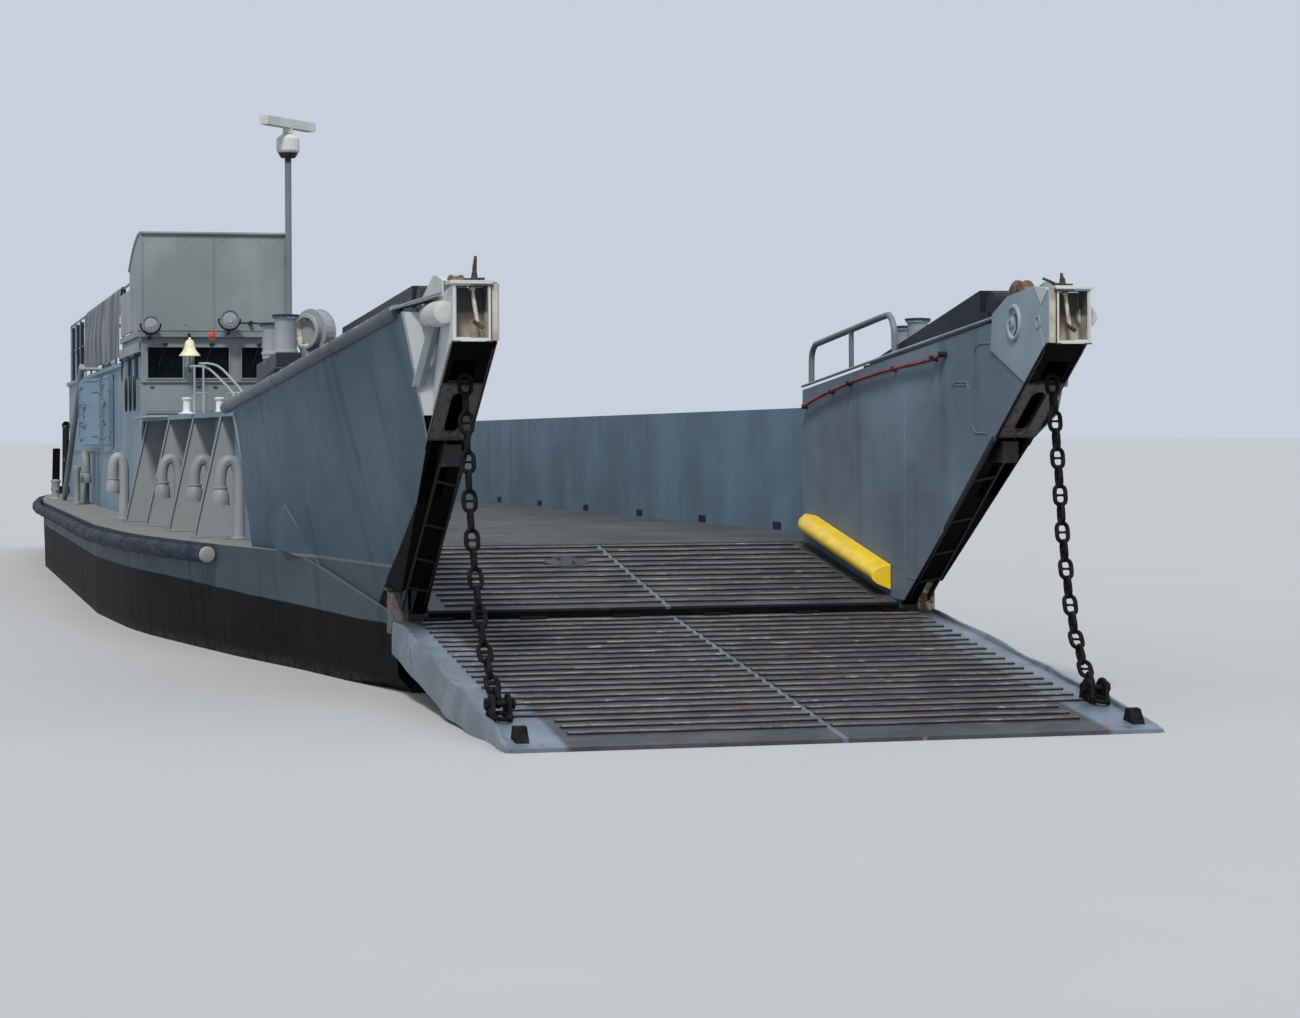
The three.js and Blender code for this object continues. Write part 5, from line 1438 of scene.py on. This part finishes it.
# Starboard house side: racks of looped line
def lineRacks():
    wall = houseSizes["outer"]
    shape = Shape()
    for x0, x1, top, low, high in ((-18.1, -14.9, 2.25, 1.52, 1.98), (-25.9, -24.0, 1.75, 1.02, 1.44)):
        shape.rod((x0, wall - 0.05, top), (x1, wall - 0.05, top + 0.03), 0.02, 8)
        for share in (0.05, 0.5, 0.95):
            x = between(x0, x1, share)
            shape.rod((x, wall + 0.005, top + 0.02), (x, wall - 0.1, top + 0.02), 0.02, 8)
            shape.rod((x, wall - 0.06, top + 0.02), (x, wall - 0.06, high - 0.02), 0.009, 8)
        for share in (0.3, 0.55, 0.8):
            x = between(x0, x1, share)
            shape.hoop(lambda c, s: (x + 0.26 * c, wall - 0.06 - 0.012 * c,
                                     between(low, high, 0.5 + 0.5 * s)),
                       0.016, 24)
    shape.make("house_line_racks", postBlack, "haze_grey", 0, 50)


# Door frames, and the seams and ledges of the side plating
def doorTrim():
    wall = houseSizes["outer"]
    frames = Shape()
    for x in (-20.94, -23.34):
        for x0, x1, z0, z1 in ((x - 0.315, x - 0.285, 1.02, 2.10), (x + 0.285, x + 0.315, 1.02, 2.10),
                               (x - 0.315, x + 0.315, 1.02, 1.055), (x - 0.315, x + 0.315, 2.065, 2.10)):
            frames.block((x0, x1), (wall - 0.006, wall + 0.02), (z0, z1))
    frames.block((-32.1, -19.7), (wall - 0.03, wall + 0.005), (0.915, 0.945))
    for x in (-18.9, -24.5, -29.0):
        frames.block((x - 0.025, x + 0.025), (wall - 0.012, wall + 0.01), (0.01, 2.18))
    frames.block((-33.6, -18.5), (wall - 0.022, wall + 0.01), (2.165, 2.19))
    frames.make("house_side_trim", wallPaint, "haze_grey", 0.003)


# Boxes on the bridge's side, frames aft of the house, and the pipes and bollard on the side deck
def sideFittings():
    pale = Shape().blocks(((-18.8, -16.6), (-3.52, -3.49), (2.64, 3.25)),
                          ((-18.8, -15.1), (-3.54, -3.49), (2.30, 2.44)))
    pale.make("bridge_side_boxes", bulwarkPaint, "house_grey", 0.006)
    dark = Shape()
    for x in (-29.6, -30.8, -32.4):
        dark.rod((x, -3.47, 2.2), (x, -3.47, 3.3), 0.035, 10)
    for x in (-33.0, -34.0):
        dark.rod((x, -3.58, 1.4), (x - 0.3, -3.58, 0.02), 0.04, 10)
    dark.rod((-33.0, -3.58, 1.38), (-34.0, -3.58, 1.38), 0.03, 10)
    dark.rod((-33.15, -3.58, 0.72), (-34.15, -3.58, 0.72), 0.025, 10)
    dark.make("aft_frames", postBlack, "haze_grey", 0, 40)
    grey = Shape()
    grey.rod((-23.6, -3.82, 2.32), (-29.3, -3.82, 0.05), 0.05, 14)
    grey.rod((-23.6, -3.86, 2.28), (-23.6, -3.49, 2.28), 0.03, 10)
    grey.turned([(0.07, 0.0), (0.07, 0.03), (0.052, 0.045), (0.05, 0.56), (0.066, 0.59), (0.066, 0.64),
                 (0.03, 0.66)], (-25.5, -3.8, 0.01), sides=20)
    grey.make("side_pipes", ventGrey, "haze_grey", 0, 40)


# Edges, hinge straps, dogs and a handle on a door leaf, drawn from its hinge line
def leafDetails(name, body, x, openAngle, sill, head, side=-1, wallY=houseSizes["outer"]):
    lap, half, hingeOut = 0.05, 0.29, 0.037
    width, out = 2 * (half + lap), side * 0.027
    low, high = sill - lap + 0.03, head + lap - 0.03
    shape = Shape()

    def proud(near, far):
        return sorted((out + side * near, out + side * far))

    for x0, x1, z0, z1 in ((-width + 0.16, -0.02, low, low + 0.022),
                           (-width + 0.16, -0.02, high - 0.022, high),
                           (-0.045, -0.02, low, high),
                           (-width + 0.02, -width + 0.042, low + 0.14, high - 0.14)):
        shape.block((x0, x1), proud(0, 0.01), (z0, z1))
    for share in (0.16, 0.84):
        z = between(low, high, share)
        shape.block((-0.26, -0.015), proud(0, 0.014), (z - 0.028, z + 0.028))
        shape.rod((-0.006, out + side * 0.004, z - 0.06), (-0.006, out + side * 0.004, z + 0.06), 0.014, 10)
    for share in (0.1, 0.36, 0.64, 0.9):
        z = between(low, high, share)
        shape.rod((-width + 0.09, out, z), (-width + 0.09, out + side * 0.03, z), 0.018, 10)
        shape.plate([(-width + 0.06, z - 0.012), (-width + 0.17, z - 0.008), (-width + 0.17, z + 0.008),
                     (-width + 0.06, z + 0.012)], "y", proud(0.02, 0.032))
    grip = out + side * 0.045
    bends = ((out, 1.5), (grip, 1.52), (grip, 1.68), (out, 1.7))
    shape.pipe(smoothPath([(-width + 0.2, y, z) for y, z in bends], 4), 0.011, 8)
    place = (Matrix.Translation((x + half + lap, wallY + side * hingeOut, 0))
             @ Matrix.Rotation(math.radians(openAngle), 4, "Z"))
    shape.place(place).make(name, wallPaint, "haze_grey", 0.002, body=body)


# A bent vent pipe, rounded, with its bell and foot flange
def gooseneckAt(shape, foot, reach, radius):
    x, y = foot
    along, across = reach
    neck = [(0, 0.01), (0, 0.45), (0, 0.66), (0.06, 0.76), (0.24, 0.84), (0.5, 0.865), (0.76, 0.84),
            (0.94, 0.76),
            (1, 0.66), (1, 0.5)]
    shape.pipe(smoothPath([(x + along * share, y + across * share, z) for share, z in neck], 4), radius, 18)
    shape.turned([(0.1, 0.0), (0.1, 0.02), (radius, 0.03)], (x, y, 0.005), sides=18)
    shape.turned([(0.05, 0.0), (0.09, -0.004), (0.097, 0.02), (0.097, 0.07), (0.09, 0.12), (0.078, 0.16),
                  (0.072, 0.175), (0.083, 0.18), (0.083, 0.195), (0.068, 0.2)],
                 (x + along, y + across, 0.38))
    return shape


def goosenecks():
    shape = Shape()
    for x, y in ((-11, -3.36), (-8.8, -3.17), (-6.6, -3.1)):
        gooseneckAt(shape, (x, y), (0, -0.2), 0.062)
        shape.block((x - 0.035, x + 0.035), (y, -2.99), (0.295, 0.345))
    shape.make("well_goosenecks", ventGrey, "haze_grey", 0, 50)
    for name, foot, reach in (("side_vent_fore", (-15.25, -3.73), (0, -0.15)),
                              ("side_vent_aft", (-26, -3.64), (0.28, 0))):
        vent = gooseneckAt(Shape(), foot, reach, 0.072)
        vent.make(name + "_rounded", ventGrey, "haze_grey", 0, 50, node=name)


# Half the hull's beam at the deck
def deckEdgeAt(x):
    stations = [(0, 2.48), (-2.8, 2.98), (-5, 3.42), (-8.5, 3.97), (-10, 4.1), (-13, 4.25), (-28, 4.25),
                (-31.5, 4.12), (-35, 3.9), (-36.8, 3.7), (-37.47, 3.35)]
    for (x0, y0), (x1, y1) in zip(stations, stations[1:]):
        if x >= x1:
            return between(y0, y1, (x - x0) / (x1 - x0))
    return stations[-1][1]


# Flanges along the sloping edge of each buttress, on both sides of the well
def buttressFlanges(side):
    x, end, spacing = -7.65, -15 if side < 0 else -36.4, 2.25
    shape = Shape()
    while x > end:
        foot = min(between(3.47, 3.75, (-7.65 - x) / 6.75), deckEdgeAt(x) - 0.15)
        head = min(between(3.08, 3.5, (x + 5) / (-15 + 5)), 3.5) - 0.02
        shape.loft([[(x - 0.055, y, z), (x + 0.055, y, z), (x + 0.055, y + 0.014, z),
                     (x - 0.055, y + 0.014, z)]
                    for y, z in ((foot + 0.001, 0.012), (foot + 0.001, 0.07), (head + 0.001, 1.385))])
        shape.block((x - 0.08, x + 0.08), (2.98, foot + 0.05), (0.002, 0.016))
        x -= spacing
    finishWing(shape, side, "buttress_flanges_", wallPaint, "haze_grey", 0.003)


# Fenders: smooth rubber with wide-set bands, fine rings near the fore end and grey end caps
fenderSizes = {"radius": 0.086, "out": 0.097, "height": -0.11, "bandSpacing": 1.85, "ringSpacing": 0.08,
               "ringsTo": -7.2}


def ringsAlong(name, path, spacing, radius, half):
    band = [(0.084, -half), (radius, -half * 0.8), (radius, half * 0.8), (0.084, half)]
    seed = Shape().turned(band, (0, 0, 0), (1, 0, 0), 20).seed("ring")
    tree = Tree(name, {"Band": seed, "Length": spacing}, fenderRubber)
    data = tree.grow(tree.alongCurve("Length", tree.shape("Band")), curveCarrier(path), seed)
    finishPiece(name, data, fenderRubber, smoothTo=40)


def fender(side, sideName):
    stations = [-5.4, -6.5, -8.5, -10, -13, -16.5, -20, -24, -28, -31.5, -33.3, -35, -36.8]
    radius, height = fenderSizes["radius"], fenderSizes["height"]
    path = smoothPath([(x, side * (deckEdgeAt(x) + fenderSizes["out"]), height) for x in stations])
    shape = Shape().pipe(path, radius, 20)
    shape.make("fender_" + sideName + "_rounded", fenderRubber, "fender_rubber", 0, 50,
               node="fender_" + sideName)
    foreRun = [p for p in path if p[0] > fenderSizes["ringsTo"]]
    ringsAlong("fender_bands_" + sideName, path, fenderSizes["bandSpacing"], 0.0925, 0.028)
    ringsAlong("fender_rings_" + sideName, foreRun, fenderSizes["ringSpacing"], 0.0885, 0.012)
    cap = Shape().turned([(0.02, -0.03), (0.08, -0.03), (radius, 0.0), (radius, 0.08), (0.07, 0.1),
                          (0.03, 0.108)],
                         path[0] - Vector((0.02, 0, 0)), (1, side * -0.19, 0), 28)
    cap.make("fender_cap_" + sideName, ventGrey, "tip_white", 0, 40)


frontFrames()
bridgeTrim()
bellAndBrackets()
bridgeLamps()
ledgeFittings()
lineRacks()
doorTrim()
sideFittings()
leafDetails("door_1_fittings", "door_s1", -20.94, 6, 1.05, 2.07)
leafDetails("door_2_fittings", "door_s2", -23.34, 28, 1.05, 2.07)
leafDetails("well_door_fittings", "door_w", -21.5, 0, 0.25, 2.05, 1, houseSizes["inner"])
goosenecks()
for side in sideNames:
    buttressFlanges(side)
for side, sideName in sideNames.items():
    fender(side, sideName)
print("house fittings made")


# Canvas hung over the roof rail in upright folds
canvasSizes = {"fore": -18.95, "aft": -27.9, "railOut": -3.46, "railHeight": 3.37, "folds": 21,
               "depth": 0.055}


def canvasMaterial():
    paint = Paint("canvas_grey")
    weave = paint.noise(220, 2)
    streaks = paint.noise(1, 5, 0.65, stretch=(5, 5, 0.5))
    colour = paint.mix(streaks.rise(0.35, 0.68), (0.07, 0.082, 0.092), (0.22, 0.24, 0.25))
    return paint.finish(colour, 0.85, [(weave, 0.0006, 0.4)], specular=0.1)


def hungCanvas():
    columns = 210
    drops = [(0.045, -0.34), (0.04, -0.1), (0.036, -0.02), (0.026, 0.018), (0.0, 0.032), (-0.026, 0.022),
             (-0.04, -0.02)]
    drops += [(-0.042, -0.08 - 0.95 * k / 14) for k in range(15)]
    rows = []
    for k in range(columns + 1):
        share = k / columns
        x = between(canvasSizes["fore"], canvasSizes["aft"], share)
        turns = 2 * math.pi * canvasSizes["folds"] * share
        fold = math.sin(turns + 0.6 * math.sin(7 * share) + 0.4 * math.sin(17 * share + 1))
        row = []
        for out, drop in drops:
            slack = min(1, max(0, (-0.04 - drop) / 0.5)) if out < 0 else 0
            swell = 0.8 + 0.2 * math.sin(5 * share + 3 * drop)
            ripple = canvasSizes["depth"] * slack * (0.55 + 0.45 * fold) * swell
            row.append((x + 0.03 * slack * math.cos(turns), canvasSizes["railOut"] + out - ripple,
                        canvasSizes["railHeight"] + drop))
        rows.append(row)
    across = len(drops)
    faces = [[r * across + c, r * across + c + 1, (r + 1) * across + c + 1, (r + 1) * across + c]
             for r in range(columns) for c in range(across - 1)]
    shape = Shape().shell([p for row in rows for p in row], faces)
    made = shape.make("rail_canvas", canvasMaterial(), "haze_grey", 0, 80)


# Tie-down sockets let into the well deck, and scuppers along the foot of the port bulwark
def deckSockets():
    seed = Shape().turned([(0.075, 0), (0.078, 0.005), (0.062, 0.009), (0.058, 0.004), (0.02, 0.004)],
                          (0, 0, 0),
                          sides=20).seed("socket")
    spots = [(x, y, 0.0115) for x in (-4.2, -6.0, -7.8, -9.6, -11.4, -13.2) for y in (-2.3, -0.8, 0.8, 2.3)]
    spots += [(-15.4 - 1.8 * k, y, 0.0115) for k in range(11) for y in (-0.9, 0.8, 2.3)]
    repeatOnPoints("well_deck_sockets", spots, seed, (0, 0, 1), postBlack)
    # Each scupper is a thin black plate on both faces of the bulwark: painted shade standing for the opening
    shape = Shape()
    for k in range(9):
        x = -6.4 - 3.2 * k
        shape.block((x - 0.16, x + 0.16), (2.945, 2.952), (0.05, 0.13))
        shape.block((x - 0.18, x + 0.18), (3.046, 3.056), (0.03, 0.15))
    shape.make("bulwark_scuppers", postBlack, "haze_grey")


# Rungs one above another, standing out from a wall
def rungs(shape, count, x0, x1, wall, out, lowest, pitch):
    for k in range(count):
        z = lowest + pitch * k
        shape.pipe(smoothPath([(x0, wall, z), (x0, out, z), (x1, out, z), (x1, wall, z)], 3), 0.012, 8)


# Seams along the walls that face the well, a grab rail, and rungs beside the well door
def wellSideTrim():
    shape = Shape()
    for x in (-18.9, -21.0, -24.5, -27.5, -30.5):
        shape.block((x - 0.02, x + 0.02), (-1.535, -1.52), (0.03, 2.16))
    shape.block((-33.6, -18.5), (-1.54, -1.516), (2.165, 2.19))
    shape.block((-33.6, -15.1), (-1.54, -1.521), (0.17, 0.19))
    shape.make("well_wall_seams", wallPaint, "haze_grey", 0.003)
    rail = Shape().rod((-33.2, -1.455, 1.1), (-22.4, -1.455, 1.1), 0.017, 12)
    for k in range(7):
        x = -22.5 - 1.78 * k
        rail.rod((x, -1.455, 1.1), (x, -1.535, 1.1), 0.012, 8)
    rungs(rail, 7, -19.6, -19.3, -1.535, -1.45, 0.35, 0.28)
    rungs(rail, 5, -34.2, -33.9, 2.955, 2.87, 0.25, 0.26)
    rail.make("well_grab_rails", railGrey, "haze_grey", 0, 50)


# Bitts on the side decks
def sideBitts():
    shape = Shape()
    for x, y in ((-12.6, 3.98), (-30.6, 3.92), (-30.6, -3.92)):
        for step in (-0.2, 0.2):
            shape.turned([(0.09, 0.0), (0.09, 0.02), (0.065, 0.04), (0.065, 0.3), (0.085, 0.33),
                          (0.085, 0.36),
                          (0.03, 0.375)], (x + step, y, 0.0))
        shape.block((x - 0.34, x + 0.34), (y - 0.11, y + 0.11), (0.0, 0.02))
        shape.rod((x - 0.3, y, 0.2), (x + 0.3, y, 0.2), 0.03, 12)
    shape.make("side_deck_bitts", ventGrey, "haze_grey", 0.003, 40)


# On the roof: vents, lockers, and a life-raft drum in its cradle
def roofFittings():
    vents = Shape()
    for x, y in ((-21.6, -2.9), (-25.4, -2.1), (-31.2, -2.9)):
        vents.turned([(0.12, 0.0), (0.12, 0.02), (0.085, 0.03), (0.085, 0.3), (0.17, 0.31), (0.175, 0.34),
                      (0.13, 0.4), (0.01, 0.42)], (x, y, 2.25), sides=28)
    vents.make("roof_vents", ventGrey, "haze_grey", 0, 50)
    lockers = Shape().blocks(((-29.4, -28.2), (-2.3, -1.75), (2.252, 2.75)),
                             ((-29.43, -28.17), (-2.33, -1.72), (2.70, 2.77)),
                             ((-23.9, -23.1), (-2.95, -2.15), (2.252, 2.42)),
                             ((-23.94, -23.06), (-2.99, -2.11), (2.40, 2.45)))
    lockers.make("roof_lockers", wallPaint, "haze_grey", 0.01)
    half = [(0.1, 0.56), (0.24, 0.54), (0.27, 0.48), (0.27, 0.03), (0.29, 0.02)]
    drum = Shape().turned([(r, -d) for r, d in half] + half[::-1], (-26.8, -1.98, 2.62), (1, 0, 0), 32)
    drum.make("life_raft_drum", whiteTube, "tip_white", 0, 40)
    cradle = Shape()
    for x in (-27.1, -26.5):
        cradle.plate([(-2.26, 2.252), (-1.7, 2.252), (-1.72, 2.5), (-1.86, 2.36), (-2.1, 2.36),
                      (-2.24, 2.5)], "x",
                     (x - 0.025, x + 0.025))
    cradle.make("life_raft_cradle", wallPaint, "haze_grey", 0.003)


# Stern winch: two layers of wire and the hubs turn with the drum, the bearing caps, base and bolts stand
def winchFittings():
    x, y, z = -34.6, -2.75, 0.75
    pitch, steps = 0.04, 20
    turns = Shape()
    for radius, count in ((0.262, 19), (0.297, 18)):
        start = y - pitch * count / 2
        angles = [2 * math.pi * k / steps for k in range(count * steps + 1)]
        turns.pipe([(x + radius * math.cos(a), start + pitch * k / steps, z + radius * math.sin(a))
                    for k, a in enumerate(angles)], 0.0185, 6)
    turns.make("winch_wire_turns", chainIron, "chain_black", 0, 60, body="drum")
    hubs = Shape()
    frame = Shape()
    for side in (-1, 1):
        hubs.turned([(0.2, 0.0), (0.2, 0.015), (0.13, 0.02), (0.12, 0.05), (0.06, 0.055)],
                    (x, y + side * 0.44, z), (0, side, 0), 32)
        outer = y + side * 0.55
        frame.turned([(0.14, 0.0), (0.14, 0.03), (0.11, 0.05), (0.083, 0.05), (0.083, 0.0)], (x, outer, z),
                     (0, side, 0), 28)
        frame.block((x - 0.36, x + 0.36), sorted((outer - side * 0.03, outer + side * 0.04)), (0.32, 0.35))
    hubs.make("winch_drum_hubs", chainIron, "chain_black", 0, 40, body="drum")
    frame.block((x - 0.5, x - 0.3), (y - 0.42, y + 0.42), (0.08, 0.2))
    frame.rod((x - 0.4, y - 0.52, 0.24), (x - 0.4, y + 0.52, 0.24), 0.028, 12)
    frame.make("winch_frame_fittings", wallPaint, "haze_grey", 0.004, 40)
    bolts = [(x + a, y + b, 0.082) for a in (-0.5, -0.17, 0.17, 0.5) for b in (-0.56, 0.56)]
    repeatOnPoints("winch_base_bolts", bolts, boltHead(0.024, 0.018), (0, 0, 1), chainIron)


# Stern anchor: crown pin, shackle and palms
def anchorFittings():
    x, y = -36.77, -3.45
    shape = Shape().rod((x + 0.03, y - 0.27, 0.1), (x + 0.03, y + 0.27, 0.1), 0.045)
    shape.hoop(lambda c, s: (x + 0.82, y + 0.07 * c, 1.42 + 0.07 * s), 0.02, 24)
    for offset in (-0.18, 0.18):
        shape.plate([(x - 0.02, 0.12), (x + 0.1, 0.1), (x + 0.5, 0.93), (x + 0.44, 0.95)], "y",
                    (y + offset - 0.075, y + offset + 0.075))
    shape.make("stern_anchor_fittings", chainIron, "chain_black", 0.004, 40)


# Stern gate: panel edges and two latch handles that move with the leaf
def gateFittings():
    x, z = -36.62, 0.17
    inner, outer, height = -1.43, 2.9, 1.25
    trim = Shape().blocks(
        ((x + 0.028, x + 0.05), (inner + 0.04, outer - 0.04), (z + height - 0.09, z + height - 0.03)),
        ((x + 0.028, x + 0.05), (inner + 0.04, outer - 0.04), (z + 0.1, z + 0.15)))
    for y in (inner + 0.06, (inner + outer) / 2, outer - 0.06):
        trim.block((x + 0.028, x + 0.045), (y - 0.025, y + 0.025), (z + 0.12, z + height - 0.04))
    trim.make("stern_gate_trim", wallPaint, "haze_grey", 0.003, body="gate")
    handles = Shape()
    for y in (inner + 0.2, outer - 0.2):
        handles.pipe(smoothPath([(x + out, y, z + up)
                                 for out, up in ((0.03, 0.95), (0.1, 0.95), (0.1, 0.72), (0.03, 0.72))], 4),
                     0.013, 10)
        handles.turned([(0.03, 0.0), (0.03, 0.03), (0.012, 0.035)], (x + 0.03, y + 0.12, z + 0.84),
                       (1, 0, 0), 16)
    handles.make("stern_gate_handles", postBlack, "chain_black", 0, 50, body="gate")


# Engine-room hatch: a handwheel and dogs that lift with the lid
def hatchFittings():
    pivot, y, lidTop = -34.23, -1.76, 0.333
    x, radius, wheelTop = pivot - 0.4, 0.13, 0.405
    wheel = Shape().hoop(lambda c, s: (x + radius * c, y + radius * s, wheelTop), 0.012, 28)
    for a in around(3):
        wheel.rod((x, y, wheelTop - 0.01), (x + radius * math.cos(a), y + radius * math.sin(a), wheelTop),
                  0.009, 8)
    wheel.rod((x, y, lidTop), (x, y, wheelTop + 0.01), 0.02, 12)
    wheel.make("hatch_handwheel", railGrey, "haze_grey", 0, 50, body="hatch")
    dogs = Shape()
    for a, b in ((-0.66, -0.25), (-0.66, 0.25), (-0.12, -0.25), (-0.12, 0.25)):
        dogX, dogY = pivot + a, y + b
        dogs.block((dogX - 0.05, dogX + 0.05), (dogY - 0.02, dogY + 0.02), (lidTop, lidTop + 0.017))
        dogs.rod((dogX, dogY, lidTop), (dogX, dogY, lidTop + 0.032), 0.014, 10)
    dogs.make("hatch_dogs", wallPaint, "haze_grey", 0.002, body="hatch")


shaftLine = {"aside": 1.75, "height": -1.62, "propeller": -35.2}


# Propeller with cambered blades, whose sections are (radius, half chord, pitch angle)
def propellerPiece(side, name, body):
    centre = Vector((shaftLine["propeller"], side * shaftLine["aside"], shaftLine["height"]))
    tip = 0.52
    shape = Shape()
    for quarter in around(4):
        turn = Matrix.Rotation(quarter, 4, "X")
        rings = []
        for radius, half, pitch in ((0.07, 0.10, 64), (0.16, 0.155, 60), (0.27, 0.19, 55),
                                    (0.38, 0.195, 50),
                                    (0.46, 0.165, 46), (0.505, 0.10, 44), (0.518, 0.03, 43)):
            p = math.radians(pitch)
            thick = between(0.024, 0.006, radius / tip)
            ring = []
            for a in around(14):
                u = half * math.cos(a) - 0.05 * (radius / tip) ** 2
                v = thick * math.sin(a) + 0.016 * (1 - math.cos(a) ** 2)
                ring.append(centre + turn @ Vector((u * math.cos(p) + v * math.sin(p), radius,
                                                    v * math.cos(p) - u * math.sin(p))))
            rings.append(ring)
        shape.loft(rings)
    shape.turned([(0.03, -0.215), (0.07, -0.2), (0.09, -0.14), (0.12, -0.02), (0.13, 0.1), (0.125, 0.17),
                  (0.075, 0.185)], centre, (1, 0, 0), 32)
    shape.rod(centre + Vector((0.1, 0, 0)), centre + Vector((4.95, 0, 0)), 0.07, 24)
    shape.make(name + "_rounded", propellerBronze, "bronze", 0, 40, body=body, node=name)


# A round nozzle, whose profile is (radius, place along the boat)
def nozzlePiece(side, name):
    y, z = side * shaftLine["aside"], shaftLine["height"]
    profile = [(0.6, -35.54), (0.64, -35.55), (0.68, -35.53), (0.697, -35.3), (0.7, -35.05), (0.69, -34.95),
               (0.665, -34.9), (0.63, -34.92), (0.605, -35.0), (0.597, -35.2)]
    rings = [[(x, y + r * math.cos(a), z + r * math.sin(a)) for r, x in profile] for a in around(64)]
    shape = Shape().loft(rings, closed=True)
    shape.block((-35.5, -35.0), (y - 0.06, y + 0.06), (z + 0.66, z + 0.786))
    shape.make(name + "_rounded", bottomPaint, "bottom_black", 0, 40, node=name)


hungCanvas()
deckSockets()
wellSideTrim()
sideBitts()
roofFittings()
winchFittings()
anchorFittings()
gateFittings()
hatchFittings()
for side, sideName in sideNames.items():
    propellerPiece(side, "propeller_" + sideName, "propeller_" + sideName[0])
    nozzlePiece(side, "nozzle_" + sideName)
print("after fittings made")
